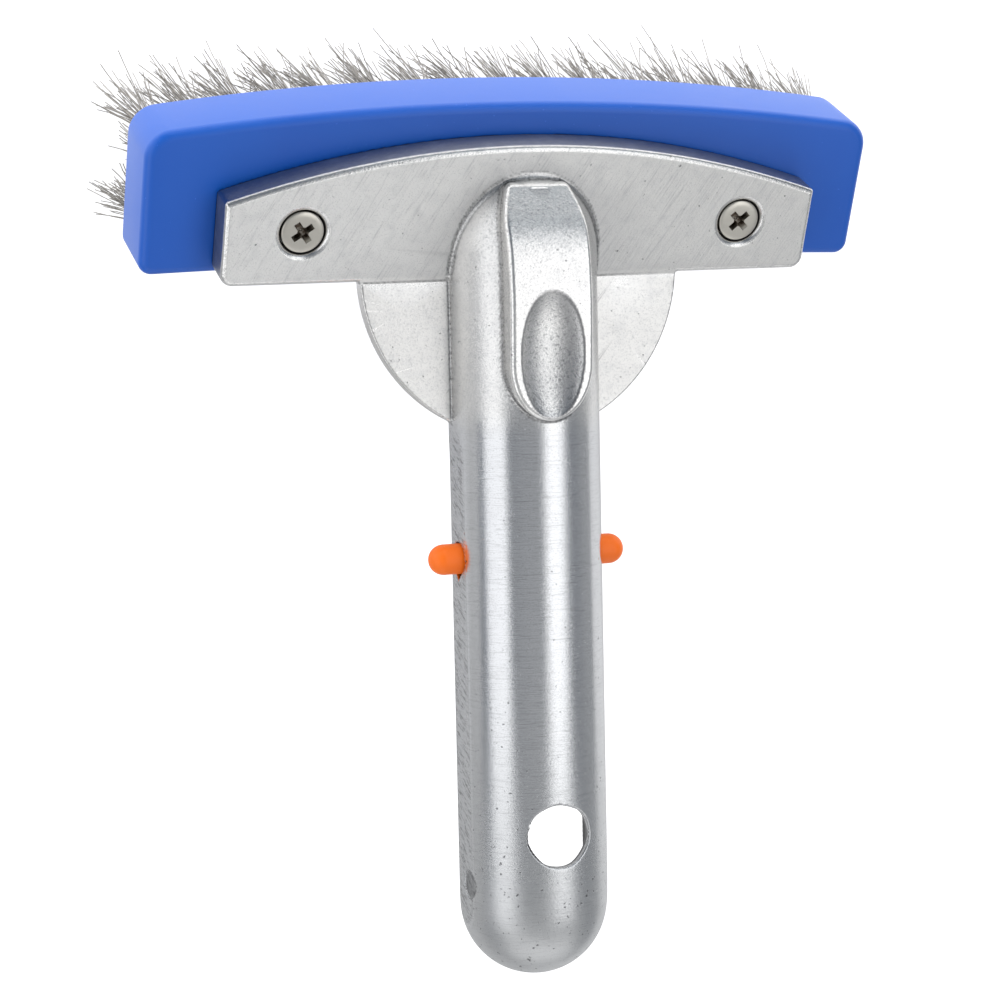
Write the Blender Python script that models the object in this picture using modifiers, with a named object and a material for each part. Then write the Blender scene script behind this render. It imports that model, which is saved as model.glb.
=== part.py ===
"""Pool wall brush: a cast aluminium handle, a plastic brush block, steel wire tufts and snap buttons.

Metres, +Z up.  The brush lies on its bristle tips: Z = 0 is the plane of the tips, +X runs along
the block, and the handle rises towards -Y.  The origin is the middle of the model's bounding box,
on its lowest plane.

Handle shapes are modelled in the frame of the empty "handle_axis", which lies on the axis of the
handle's round section: its -Y runs towards the free end and its +Z points away from the bristles.
"""

import math

import bmesh
import bpy

MM = 0.001
GAP = 0.3 * MM  # kept between pieces that touch
OVERSHOOT = 2.0 * MM  # how far a cutter runs past the face it cuts
MERGE = 0.01 * MM  # points closer than this are one point
LEVEL = 0.01  # radians between faces that still count as one plane

# Brush block
BLOCK_LENGTH = 146.0 * MM
BLOCK_DEPTH = 28.0 * MM  # along Y, at the block's ends
BLOCK_THICKNESS = 16.0 * MM
BLOCK_NEAR_RISE = 1.2 * MM  # how far the edge at the handle's side bows outwards in the middle
BLOCK_FAR_RISE = 5.4 * MM
BLOCK_NEAR_CORNER = 2.7 * MM
BLOCK_FAR_CORNER = 4.7 * MM
BLOCK_EDGE_ROUND = 1.8 * MM

# Wire tufts
BRISTLE_LENGTH = 20.0 * MM  # free length below the block
TUFT_ROWS = 3
TUFT_COLUMNS = 16  # in the outer rows; the middle row is staggered and has one less
TUFT_INSET = 5.2 * MM  # from the block's edges to the outer tufts
TUFT_HOLE_RADIUS = 2.25 * MM
TUFT_HOLE_DEPTH = 8.0 * MM
TUFT_ROOT_RADIUS = TUFT_HOLE_RADIUS - GAP
TUFT_TIP_RADIUS = 3.0 * MM
TUFT_SPLAY = math.radians(11)  # lean of the outermost tufts
TUFT_SIDES = 10

# Mounting plate of the casting
PLATE_LENGTH = 118.8 * MM
PLATE_NEAR_INSET = 0.7 * MM  # from the block's near edge
PLATE_DEPTH = 16.7 * MM
PLATE_FAR_RISE = 10.2 * MM
PLATE_FRONT = 7.3 * MM  # height of its front face above the block
PLATE_CORNER = 2.5 * MM
PLATE_FAR_CORNER = 0.5 * MM
PLATE_EDGE_ROUND = 0.6 * MM

# Screws
SCREW_SPACING = 88.5 * MM
SCREW_FROM_EDGE = 11.2 * MM
SCREW_HEAD_RADIUS = 4.0 * MM
SCREW_HEAD_HEIGHT = 2.3 * MM
SCREW_SIDE_HEIGHT = 1.4 * MM  # the straight side of the head, below its domed top
SCREW_DOME_RADIUS = 2.8 * MM  # a point on the dome
SCREW_DOME_HEIGHT = 2.15 * MM
SCREW_SHANK_RADIUS = 2.1 * MM
SCREW_LENGTH = 10.6 * MM  # under the head
SCREW_POINT = 2.0 * MM
COUNTERBORE_RADIUS = 4.6 * MM
COUNTERBORE_DEPTH = 3.0 * MM
COUNTERBORE_MOUTH = 0.7 * MM  # chamfer at the plate's face
RECESS_LENGTH = 4.9 * MM
RECESS_WIDTH = 1.2 * MM
RECESS_DEPTH = 1.5 * MM
RECESS_ANGLES = {"left": math.radians(35), "right": math.radians(44)}

# Handle: an open-backed round section
TILT = math.radians(22.5)
HANDLE_RADIUS = 14.6 * MM
HANDLE_WALL = 2.0 * MM
AXIS_ABOVE_BLOCK = 7.2 * MM  # height of the axis over the block's near edge
HEAD_CENTRE = -5.8 * MM  # distances along the handle are from the point over the near edge
HEAD_LENGTH = 17.6 * MM  # of the domed end at the plate, which is longer than it is wide
END_CENTRE = 120.6 * MM
RIM_DEPTH = 4.1 * MM  # the open back's rim, below the axis
SIDE_FLAT = 14.05 * MM  # ground flats on both sides, from the axis
SIDE_FLAT_START = 27.0 * MM
CHANNEL_START = 5.0 * MM
HANGING_HOLE_AT = 105.6 * MM
HANGING_HOLE_RADIUS = 6.15 * MM

# Gusset: a half disc between the plate and the handle's sides
GUSSET_CENTRE = -2.4 * MM
GUSSET_RADIUS = 32.3 * MM
GUSSET_FRONT = 0.2 * MM  # above the axis
GUSSET_THICKNESS = 3.1 * MM
GUSSET_EMBED = 3.6 * MM  # length buried in the plate

# Thumb rest on the head
REST_HALF_WIDTH = 8.3 * MM
REST_TOP_HALF_WIDTH = 6.0 * MM
REST_TOP = -19.0 * MM  # end at the plate
REST_SHOULDER = -9.5 * MM  # where the slope meets the crest
REST_STRAIGHT_END = 15.0 * MM
REST_END = 25.8 * MM
REST_CREST_START = 17.2 * MM  # height of the crest over the axis
REST_SWELL = 0.75  # share of the rise to the crest that is reached halfway there
REST_CREST_END = 15.9 * MM
REST_SHOULDER_HEIGHT = 15.7 * MM
REST_TOP_HEIGHT = 10.2 * MM
REST_ROOT = 5.0 * MM  # height of the rest's underside, inside the head
REST_EDGE_ROUND = 0.7 * MM
DIMPLE_AT = 13.2 * MM
DIMPLE_HALF_WIDTH = 6.3 * MM
DIMPLE_HALF_LENGTH = 12.3 * MM
DIMPLE_DEPTH = 2.1 * MM

# Snap buttons and the spring behind them
BUTTON_AT = 52.7 * MM
BUTTON_RADIUS = 2.95 * MM
BUTTON_TIP = 20.0 * MM  # from the handle's axis
BUTTON_BORE_RADIUS = 3.25 * MM
FLANGE_RADIUS = 3.7 * MM
FLANGE_THICKNESS = 1.2 * MM
SPRING_THICKNESS = 0.7 * MM
SPRING_WIDTH = 6.0 * MM
SPRING_APEX = 16.0 * MM
SPRING_BEND_RADIUS = 4.0 * MM
SPRING_PAD_START = 47.0 * MM
SPRING_PAD_END = 58.0 * MM

ROUND_STEPS = 40
SMALL_STEPS = 24
RIGHT_ANGLE = math.pi / 2

# Heights, and the placing of the near edge that centres the bounding box on the origin
BLOCK_TOP_Z = BRISTLE_LENGTH + BLOCK_THICKNESS
PLATE_BACK_Z = BLOCK_TOP_Z + GAP
PLATE_FRONT_Z = BLOCK_TOP_Z + PLATE_FRONT
SCREW_SEAT_Z = PLATE_FRONT_Z - COUNTERBORE_DEPTH
HANDLE_REACH = (
    (END_CENTRE + math.sqrt(HANDLE_RADIUS**2 - RIM_DEPTH**2)) * math.cos(TILT)
    + RIM_DEPTH * math.sin(TILT)
)
EDGE_Y = (HANDLE_REACH - BLOCK_DEPTH - BLOCK_FAR_RISE) / 2

SILVER = (0.62, 0.63, 0.64)
STEEL = (0.45, 0.44, 0.42)
BLUE = (0.028, 0.125, 0.52)
ORANGE = (1.0, 0.19, 0.02)


def clear_scene():
    for thing in list(bpy.data.objects):
        bpy.data.objects.remove(thing, do_unlink=True)


def new_collection(name):
    collection = bpy.data.collections.new(name)
    bpy.context.scene.collection.children.link(collection)
    return collection


def material(name, colour, roughness, metallic):
    made = bpy.data.materials.new(name)
    made.use_nodes = True
    shader = made.node_tree.nodes["Principled BSDF"]
    shader.inputs["Base Color"].default_value = (*colour, 1.0)
    shader.inputs["Roughness"].default_value = roughness
    shader.inputs["Metallic"].default_value = metallic
    return made


def place(name, mesh, collection, parent=None, location=(0, 0, 0), rotation=(0, 0, 0)):
    """Put a mesh in the scene as an object."""
    thing = bpy.data.objects.new(name, mesh)
    thing.location = location
    thing.rotation_euler = rotation
    thing.parent = parent
    collection.objects.link(thing)
    if collection is cutters:
        thing.hide_render = True
        thing.display_type = "WIRE"
    return thing


def finish(thing, look, sharp_angle=math.radians(40)):
    """Give a part its material and smooth shading between its sharp edges."""
    thing.data.materials.append(look)
    thing.data.shade_smooth()
    thing.data.set_sharp_from_angle(angle=sharp_angle)


def boolean(target, operation, tool):
    modifier = target.modifiers.new(f"{operation.lower()} {tool.name}", "BOOLEAN")
    modifier.operation = operation
    modifier.object = tool


def bevel(target, width, segments=2):
    modifier = target.modifiers.new("rounded edges", "BEVEL")
    modifier.width = width
    modifier.segments = segments
    modifier.limit_method = "ANGLE"
    modifier.angle_limit = math.radians(40)


def mesh_of(name, build):
    """A mesh from a function that fills a bmesh."""
    shape = bmesh.new()
    build(shape)
    mesh = bpy.data.meshes.new(name)
    shape.to_mesh(mesh)
    shape.free()
    return mesh


def box(name, low, high):
    """A box between two corners."""

    def build(shape):
        bmesh.ops.create_cube(shape, size=1.0)
        for vertex in shape.verts:
            for axis in range(3):
                vertex.co[axis] = low[axis] if vertex.co[axis] < 0 else high[axis]

    return mesh_of(name, build)


def arc(centre, radius, start, end, steps):
    """Points on an arc, its angles in degrees from +X."""
    turn = [math.radians(start + (end - start) * i / steps) for i in range(steps + 1)]
    return [(centre[0] + radius * math.cos(a), centre[1] + radius * math.sin(a)) for a in turn]


def flat_solid(name, outline, low, high):
    """A flat outline in the XY plane, extruded from height low to height high."""
    curve = bpy.data.curves.new(name, "CURVE")
    curve.dimensions = "2D"
    curve.fill_mode = "BOTH"
    curve.extrude = (high - low) / 2
    spline = curve.splines.new("POLY")
    spline.points.add(len(outline) - 1)
    for point, (x, y) in zip(spline.points, outline):
        point.co = (x, y, 0.0, 1.0)
    spline.use_cyclic_u = True
    return mesh_from_curve(name, curve, (low + high) / 2)


def mesh_from_curve(name, curve, lift):
    """The mesh of a filled curve, with its caps welded on, raised by lift."""
    guide = bpy.data.objects.new(name, curve)
    bpy.context.scene.collection.objects.link(guide)
    graph = bpy.context.evaluated_depsgraph_get()
    raw = bpy.data.meshes.new_from_object(guide.evaluated_get(graph))
    bpy.data.objects.remove(guide, do_unlink=True)

    def build(shape):
        shape.from_mesh(raw)
        bmesh.ops.remove_doubles(shape, verts=shape.verts, dist=MERGE)
        bmesh.ops.dissolve_limit(shape, angle_limit=LEVEL, verts=shape.verts, edges=shape.edges)
        bmesh.ops.recalc_face_normals(shape, faces=shape.faces)
        bmesh.ops.translate(shape, verts=shape.verts, vec=(0, 0, lift))

    return mesh_of(name, build)


def turned(name, profile, collection, steps=SMALL_STEPS, **placing):
    """A turned shape about its own Z, from (radius, height) points that run top to bottom."""
    mesh = bpy.data.meshes.new(name)
    edges = [(i, i + 1) for i in range(len(profile) - 1)]
    mesh.from_pydata([(radius, 0, height) for radius, height in profile], edges, [])
    thing = place(name, mesh, collection, **placing)
    screw = thing.modifiers.new("turned", "SCREW")
    screw.axis = "Z"
    screw.steps = steps
    screw.render_steps = steps
    screw.use_merge_vertices = True
    screw.merge_threshold = MERGE
    screw.use_smooth_shade = True
    return thing


def capsule(radius, top, bottom, bottom_length, steps=8):
    """Profile of a cylinder with a round top end and a half-elliptic bottom one.

    The ends' centres lie at heights top and bottom.
    """
    upper = arc((0, top), radius, 90, 0, steps)
    round_end = arc((0, bottom), radius, 0, -90, steps)
    lower = [(x, bottom + (height - bottom) * bottom_length / radius) for x, height in round_end]
    points = upper + lower
    points[0] = (0, points[0][1])
    points[-1] = (0, points[-1][1])
    return points


def bowed(x, y, half_length, depth, near_rise, far_rise):
    """Bow a point of a straight bar's outline outwards, less at its near edge than its far one."""
    rise = near_rise + (far_rise - near_rise) * y / depth
    return x, y + rise * (1 - (x / half_length) ** 2)


def bar_outline(length, depth, near_corner, far_corner, near_rise, far_rise, steps=14):
    """Outline of a bar along X with rounded corners and bowed long edges; y = 0 is the near edge."""
    half = length / 2
    points = arc((half - near_corner, near_corner), near_corner, -90, 0, 3)
    points += arc((half - far_corner, depth - far_corner), far_corner, 0, 90, 4)
    run = half - far_corner
    points += [(run - 2 * run * i / steps, depth) for i in range(1, steps)]
    points += arc((far_corner - half, depth - far_corner), far_corner, 90, 180, 4)
    points += arc((near_corner - half, near_corner), near_corner, 180, 270, 3)
    run = half - near_corner
    points += [(2 * run * i / steps - run, 0.0) for i in range(1, steps)]
    return [bowed(x, y, half, depth, near_rise, far_rise) for x, y in points]


def tuft_places():
    """Name, place on the block and lean of each tuft: X, Y, and the tip's shift along both."""
    half_run = BLOCK_LENGTH / 2 - TUFT_INSET
    pitch = 2 * half_run / (TUFT_COLUMNS - 1)
    for row in range(TUFT_ROWS):
        across = 2 * row / (TUFT_ROWS - 1) - 1  # -1 at the near row, 1 at the far row
        count = TUFT_COLUMNS - (row % 2)
        for column in range(count):
            x = (column - (count - 1) / 2) * pitch
            y = BLOCK_DEPTH / 2 + across * (BLOCK_DEPTH / 2 - TUFT_INSET)
            x, y = bowed(x, y, BLOCK_LENGTH / 2, BLOCK_DEPTH, BLOCK_NEAR_RISE, BLOCK_FAR_RISE)
            reach = BRISTLE_LENGTH * math.tan(TUFT_SPLAY)
            lean = (reach * x / half_run, 0.5 * reach * across)
            yield f"tuft_r{row + 1}_c{column + 1:02d}", (x, EDGE_Y + y), lean


def extruded(shape, faces, height):
    """Extrude faces to a height, and return the vertices at their new end."""
    made = bmesh.ops.extrude_face_region(shape, geom=faces)["geom"]
    ring = [part for part in made if isinstance(part, bmesh.types.BMVert)]
    for vertex in ring:
        vertex.co.z = height
    return ring


def tuft_mesh(name, lean):
    """A bundle of wires: round in its hole, then widening and leaning to a flat end at Z = 0."""
    root_z = BRISTLE_LENGTH + TUFT_HOLE_DEPTH - GAP

    def build(shape):
        bmesh.ops.create_circle(shape, cap_ends=True, segments=TUFT_SIDES, radius=TUFT_ROOT_RADIUS)
        bmesh.ops.translate(shape, verts=shape.verts, vec=(0, 0, root_z))
        ring = extruded(shape, shape.faces[:], BRISTLE_LENGTH)
        mouth = [face for face in shape.faces if all(vertex in ring for vertex in face.verts)]
        ring = extruded(shape, mouth, 0.0)
        bmesh.ops.delete(shape, geom=mouth, context="FACES_ONLY")
        for vertex in ring:
            vertex.co.x = vertex.co.x * TUFT_TIP_RADIUS / TUFT_ROOT_RADIUS + lean[0]
            vertex.co.y = vertex.co.y * TUFT_TIP_RADIUS / TUFT_ROOT_RADIUS + lean[1]
        bmesh.ops.recalc_face_normals(shape, faces=shape.faces)

    return mesh_of(name, build)


def make_tufts():
    for name, (x, y), lean in tuft_places():
        tuft = place(name, tuft_mesh(name, lean), parts, location=(x, y, 0))
        finish(tuft, material(name, STEEL, 0.4, 1.0))


def make_block():
    outline = bar_outline(
        BLOCK_LENGTH, BLOCK_DEPTH, BLOCK_NEAR_CORNER, BLOCK_FAR_CORNER, BLOCK_NEAR_RISE, BLOCK_FAR_RISE
    )
    mesh = flat_solid("brush_block", outline, BRISTLE_LENGTH, BLOCK_TOP_Z)
    block = place("brush_block", mesh, parts, location=(0, EDGE_Y, 0))
    bevel(block, BLOCK_EDGE_ROUND)
    boolean(block, "DIFFERENCE", tuft_holes())
    for side, x in screw_sides():
        boolean(block, "DIFFERENCE", pilot_hole(side, x))
    finish(block, material("brush_block", BLUE, 0.35, 0.0))


def tuft_holes():
    """Blind holes for all the tufts, in one cutter."""
    top = BRISTLE_LENGTH + TUFT_HOLE_DEPTH

    def build(shape):
        for _, (x, y), _ in tuft_places():
            made = bmesh.ops.create_cone(
                shape, cap_ends=True, segments=TUFT_SIDES, radius1=TUFT_HOLE_RADIUS,
                radius2=TUFT_HOLE_RADIUS, depth=TUFT_HOLE_DEPTH + OVERSHOOT,
            )
            middle = top - (TUFT_HOLE_DEPTH + OVERSHOOT) / 2
            bmesh.ops.translate(shape, verts=made["verts"], vec=(x, y, middle))

    return place("tuft_holes", mesh_of("tuft_holes", build), cutters)


def screw_sides():
    return (("left", -SCREW_SPACING / 2), ("right", SCREW_SPACING / 2))


def pilot_hole(side, x):
    radius = SCREW_SHANK_RADIUS + GAP
    above = BLOCK_TOP_Z + OVERSHOOT
    bottom = SCREW_SEAT_Z - SCREW_LENGTH  # a gap below the screw's point
    profile = [(0, above), (radius, above), (radius, bottom), (0, bottom)]
    return turned(f"pilot_{side}", profile, cutters, location=(x, EDGE_Y + SCREW_FROM_EDGE, 0))


def screw_bore(side, x):
    """Clearance hole, counterbore and chamfered mouth through the plate."""
    clear = SCREW_SHANK_RADIUS + GAP
    above = PLATE_FRONT_Z + OVERSHOOT
    mouth = COUNTERBORE_RADIUS + COUNTERBORE_MOUTH
    profile = [
        (0, above),
        (mouth + OVERSHOOT, above),
        (COUNTERBORE_RADIUS, PLATE_FRONT_Z - COUNTERBORE_MOUTH),
        (COUNTERBORE_RADIUS, SCREW_SEAT_Z),
        (clear, SCREW_SEAT_Z),
        (clear, PLATE_BACK_Z - OVERSHOOT),
        (0, PLATE_BACK_Z - OVERSHOOT),
    ]
    return turned(f"screw_bore_{side}", profile, cutters, location=(x, EDGE_Y + SCREW_FROM_EDGE, 0))


def make_screws():
    """Pan-head screws with a cross recess; the threads are left off."""
    profile = [
        (0, SCREW_HEAD_HEIGHT),
        (SCREW_DOME_RADIUS, SCREW_DOME_HEIGHT),
        (SCREW_HEAD_RADIUS, SCREW_SIDE_HEIGHT),
        (SCREW_HEAD_RADIUS, 0),
        (SCREW_SHANK_RADIUS, 0),
        (SCREW_SHANK_RADIUS, SCREW_POINT - SCREW_LENGTH),
        (0, -SCREW_LENGTH),
    ]
    for side, x in screw_sides():
        centre = (x, EDGE_Y + SCREW_FROM_EDGE, SCREW_SEAT_Z + GAP)
        screw = turned(f"screw_{side}", profile, parts, location=centre)
        for quarter in range(2):
            angle = RECESS_ANGLES[side] + quarter * RIGHT_ANGLE
            boolean(screw, "DIFFERENCE", recess_slot(f"recess_{side}_{quarter}", centre, angle))
        finish(screw, material(f"screw_{side}", STEEL, 0.3, 1.0))


def recess_slot(name, centre, angle):
    low = (-RECESS_LENGTH / 2, -RECESS_WIDTH / 2, SCREW_HEAD_HEIGHT - RECESS_DEPTH)
    high = (RECESS_LENGTH / 2, RECESS_WIDTH / 2, SCREW_HEAD_HEIGHT + OVERSHOOT)
    return place(name, box(name, low, high), cutters, location=centre, rotation=(0, 0, angle))


def handle_shell(axis):
    """The handle's outer form: a round-ended bar, cut off at its rim and ground flat on both sides."""
    profile = capsule(HANDLE_RADIUS, END_CENTRE, HEAD_CENTRE, HEAD_LENGTH)
    shell = turned(
        "handle_shell", profile, cutters, steps=ROUND_STEPS, parent=axis, rotation=(RIGHT_ANGLE, 0, 0)
    )
    wide = 2 * HANDLE_RADIUS
    far = -END_CENTRE - wide
    below = place(
        "below_rim", box("below_rim", (-wide, far, -wide), (wide, -HEAD_CENTRE + wide, -RIM_DEPTH)),
        cutters, parent=axis,
    )
    boolean(shell, "DIFFERENCE", below)
    for side in (-1, 1):
        name = f"side_flat_{'left' if side < 0 else 'right'}"
        near, away = sorted((side * SIDE_FLAT, side * wide))
        mesh = box(name, (near, far, -wide), (away, -SIDE_FLAT_START, wide))
        boolean(shell, "DIFFERENCE", place(name, mesh, cutters, parent=axis))
    low = (-BLOCK_LENGTH, -BLOCK_LENGTH, -BLOCK_LENGTH)
    under = box("under_plate", low, (BLOCK_LENGTH, BLOCK_LENGTH, PLATE_BACK_Z))
    boolean(shell, "DIFFERENCE", place("under_plate", under, cutters))
    return shell


def gusset(axis):
    """The half disc, its straight side buried in the plate."""
    start = GUSSET_CENTRE - GUSSET_EMBED
    rim = arc((0, -GUSSET_CENTRE), GUSSET_RADIUS, 0, -180, 28)
    outline = [(GUSSET_RADIUS, -start), *rim, (-GUSSET_RADIUS, -start)]
    mesh = flat_solid("gusset", outline, GUSSET_FRONT - GUSSET_THICKNESS, GUSSET_FRONT)
    return place("gusset", mesh, cutters, parent=axis)


def thumb_rest(axis):
    """The raised rest: a crest seen from the side, trimmed to its outline seen from the front."""
    swell = REST_SHOULDER_HEIGHT + REST_SWELL * (REST_CREST_START - REST_SHOULDER_HEIGHT)
    side = [
        (REST_TOP, REST_ROOT),
        (REST_TOP, REST_TOP_HEIGHT),
        (REST_SHOULDER, REST_SHOULDER_HEIGHT),
        (REST_SHOULDER / 2, swell),
        (0.0, REST_CREST_START),
        (REST_END, REST_CREST_END),
        (REST_END, REST_ROOT),
    ]
    reach = 2 * REST_HALF_WIDTH
    profile = flat_solid("rest_profile", side, -reach, reach)
    # the profile's X runs along the handle and its Y is the height: turn both into the axis frame
    rest = place(
        "thumb_rest", profile, cutters, parent=axis, rotation=(RIGHT_ANGLE, 0, -RIGHT_ANGLE)
    )
    trim = place("rest_outline", rest_outline(), cutters, parent=axis)
    boolean(rest, "INTERSECT", trim)
    bevel(rest, REST_EDGE_ROUND)
    return rest


def rest_outline():
    """Narrow and curved at the plate, straight along the head, and round at the lower end."""
    length = REST_END - REST_STRAIGHT_END
    end = [
        (REST_HALF_WIDTH * math.cos(turn), -REST_STRAIGHT_END - length * math.sin(turn))
        for turn in [math.radians(15 * i) for i in range(13)]
    ]
    narrowing = REST_HALF_WIDTH - REST_TOP_HALF_WIDTH
    run = REST_SHOULDER - REST_TOP
    shoulder = [
        (REST_HALF_WIDTH - narrowing * t**2, -REST_SHOULDER + t * run)
        for t in (1.0, 0.75, 0.5, 0.25, 0.0)
    ]
    mirrored = [(-x, y) for x, y in reversed(shoulder)]
    return flat_solid("rest_outline", shoulder + end + mirrored, 0.0, 2 * REST_CREST_START)


def dimple(axis):
    """An ellipsoid that leaves an oval hollow in the thumb rest."""
    crest = REST_CREST_START + (REST_CREST_END - REST_CREST_START) * DIMPLE_AT / REST_END
    height = 2 * DIMPLE_DEPTH
    spread = 1 / math.sqrt(1 - 0.5**2)  # the rest's face cuts the ellipsoid halfway down

    def build(shape):
        bmesh.ops.create_uvsphere(shape, u_segments=28, v_segments=16, radius=1.0)
        scale = (DIMPLE_HALF_WIDTH * spread, DIMPLE_HALF_LENGTH * spread, height)
        bmesh.ops.scale(shape, verts=shape.verts, vec=scale)

    fall = math.atan2(REST_CREST_START - REST_CREST_END, REST_END)
    return place(
        "dimple", mesh_of("dimple", build), cutters, parent=axis,
        location=(0, -DIMPLE_AT, crest + height / 2), rotation=(fall, 0, 0),
    )


def channel(axis):
    """The hollow inside the handle, open towards the bristles."""
    radius = HANDLE_RADIUS - HANDLE_WALL
    profile = capsule(radius, END_CENTRE, CHANNEL_START + radius, radius)
    return turned(
        "channel", profile, cutters, steps=ROUND_STEPS, parent=axis, rotation=(RIGHT_ANGLE, 0, 0)
    )


def cylinder_cutter(name, radius, low, high, axis, along, rotation):
    profile = [(0, high), (radius, high), (radius, low), (0, low)]
    return turned(name, profile, cutters, parent=axis, location=(0, -along, 0), rotation=rotation)


def make_casting(axis):
    outline = bar_outline(
        PLATE_LENGTH, PLATE_DEPTH, PLATE_CORNER, PLATE_FAR_CORNER, 0.0, PLATE_FAR_RISE
    )
    mesh = flat_solid("handle_casting", outline, PLATE_BACK_Z, PLATE_FRONT_Z)
    casting = place("handle_casting", mesh, parts, location=(0, EDGE_Y + PLATE_NEAR_INSET, 0))
    bevel(casting, PLATE_EDGE_ROUND, segments=1)
    for piece in (handle_shell(axis), gusset(axis), thumb_rest(axis)):
        boolean(casting, "UNION", piece)
    boolean(casting, "DIFFERENCE", dimple(axis))
    boolean(casting, "DIFFERENCE", channel(axis))
    hole = cylinder_cutter(
        "hanging_hole", HANGING_HOLE_RADIUS, 0.0, 2 * HANDLE_RADIUS, axis, HANGING_HOLE_AT, (0, 0, 0)
    )
    boolean(casting, "DIFFERENCE", hole)
    bore = cylinder_cutter(
        "button_bore", BUTTON_BORE_RADIUS, -2 * HANDLE_RADIUS, 2 * HANDLE_RADIUS, axis, BUTTON_AT,
        (0, RIGHT_ANGLE, 0),
    )
    boolean(casting, "DIFFERENCE", bore)
    for side, x in screw_sides():
        boolean(casting, "DIFFERENCE", screw_bore(side, x))
    finish(casting, material("handle_casting", SILVER, 0.35, 1.0))


def flange_face():
    """Distance from the axis to the flange's outer face, where its corner meets the round wall."""
    inner = HANDLE_RADIUS - HANDLE_WALL
    return math.sqrt(inner**2 - FLANGE_RADIUS**2) - GAP


def make_buttons(axis):
    """Plungers with a domed tip outside and a flange inside; heights are from the handle's axis."""
    outer = flange_face()
    dome = arc((0, BUTTON_TIP - BUTTON_RADIUS), BUTTON_RADIUS, 90, 0, 6)
    profile = [
        (0, BUTTON_TIP),
        *dome[1:],
        (BUTTON_RADIUS, outer),
        (FLANGE_RADIUS, outer),
        (FLANGE_RADIUS, outer - FLANGE_THICKNESS),
        (0, outer - FLANGE_THICKNESS),
    ]
    for side, turn in (("left", -RIGHT_ANGLE), ("right", RIGHT_ANGLE)):
        button = turned(
            f"button_{side}", profile, parts, parent=axis,
            location=(0, -BUTTON_AT, 0), rotation=(0, turn, 0),
        )
        finish(button, material(f"button_{side}", ORANGE, 0.35, 0.0))


def spring_path():
    """Middle line of the V spring in the axis frame's XY plane, from the left end to the right."""
    pad_x = flange_face() - FLANGE_THICKNESS - GAP - SPRING_THICKNESS / 2
    bend_at = SPRING_APEX + SPRING_BEND_RADIUS
    run = SPRING_PAD_START - bend_at
    spread = math.degrees(math.atan2(pad_x, run))
    tangent = math.degrees(math.acos(SPRING_BEND_RADIUS / math.hypot(pad_x, run)))
    swing = 180 - spread - tangent  # half of the bend's arc, either side of the apex
    bend = arc((0, -bend_at), SPRING_BEND_RADIUS, 90 + swing, 90 - swing, 8)
    left = [(-pad_x, -SPRING_PAD_END), (-pad_x, -SPRING_PAD_START)]
    right = [(pad_x, -SPRING_PAD_START), (pad_x, -SPRING_PAD_END)]
    return left + bend + right


def make_spring(axis):
    """A leaf bent to a V in the channel: its arms push the buttons out."""
    path = spring_path()

    def build(shape):
        line = [shape.verts.new((x, y, -SPRING_WIDTH / 2)) for x, y in path]
        edges = [shape.edges.new(pair) for pair in zip(line, line[1:])]
        made = bmesh.ops.extrude_edge_only(shape, edges=edges)["geom"]
        top = [part for part in made if isinstance(part, bmesh.types.BMVert)]
        bmesh.ops.translate(shape, verts=top, vec=(0, 0, SPRING_WIDTH))

    spring = place("v_spring", mesh_of("v_spring", build), parts, parent=axis)
    leaf = spring.modifiers.new("leaf", "SOLIDIFY")
    leaf.thickness = SPRING_THICKNESS
    leaf.offset = 0.0
    leaf.use_even_offset = True
    finish(spring, material("v_spring", STEEL, 0.3, 1.0))


def handle_axis():
    """The empty whose frame the handle is modelled in."""
    axis = bpy.data.objects.new("handle_axis", None)
    axis.location = (0, EDGE_Y, BLOCK_TOP_Z + AXIS_ABOVE_BLOCK)
    axis.rotation_euler = (-TILT, 0, 0)
    axis.empty_display_size = HANDLE_RADIUS
    parts.objects.link(axis)
    return axis


clear_scene()
parts = new_collection("pool_wall_brush")
cutters = new_collection("cutters")
HANDLE_AXIS = handle_axis()
make_casting(HANDLE_AXIS)
make_block()
make_screws()
make_buttons(HANDLE_AXIS)
make_spring(HANDLE_AXIS)
make_tufts()
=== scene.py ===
"""Looks of the pool wall brush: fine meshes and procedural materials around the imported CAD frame.

Metres, in the row frame: the brush stands on its bristle tips at Z = 0, +X runs along the block and
the handle rises towards -Y.
"""

import math

import bmesh
import bpy
import numpy as np
from mathutils import Matrix, Vector


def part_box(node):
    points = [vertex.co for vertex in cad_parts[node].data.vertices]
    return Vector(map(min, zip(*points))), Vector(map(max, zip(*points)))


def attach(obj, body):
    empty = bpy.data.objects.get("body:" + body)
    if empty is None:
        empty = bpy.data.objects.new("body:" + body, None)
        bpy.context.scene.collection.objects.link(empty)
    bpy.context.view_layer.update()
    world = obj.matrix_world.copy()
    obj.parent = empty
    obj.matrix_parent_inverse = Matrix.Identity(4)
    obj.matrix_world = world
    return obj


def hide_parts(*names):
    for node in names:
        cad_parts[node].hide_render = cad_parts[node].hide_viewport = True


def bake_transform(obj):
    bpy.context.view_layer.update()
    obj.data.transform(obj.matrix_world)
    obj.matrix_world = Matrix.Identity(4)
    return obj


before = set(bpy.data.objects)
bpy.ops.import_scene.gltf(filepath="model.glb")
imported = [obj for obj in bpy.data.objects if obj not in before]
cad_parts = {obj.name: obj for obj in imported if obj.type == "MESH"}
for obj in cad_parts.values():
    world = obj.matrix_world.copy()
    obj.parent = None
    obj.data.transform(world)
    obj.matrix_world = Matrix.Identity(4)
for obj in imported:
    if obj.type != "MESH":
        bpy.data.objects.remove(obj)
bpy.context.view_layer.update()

MM = 0.001

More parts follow.
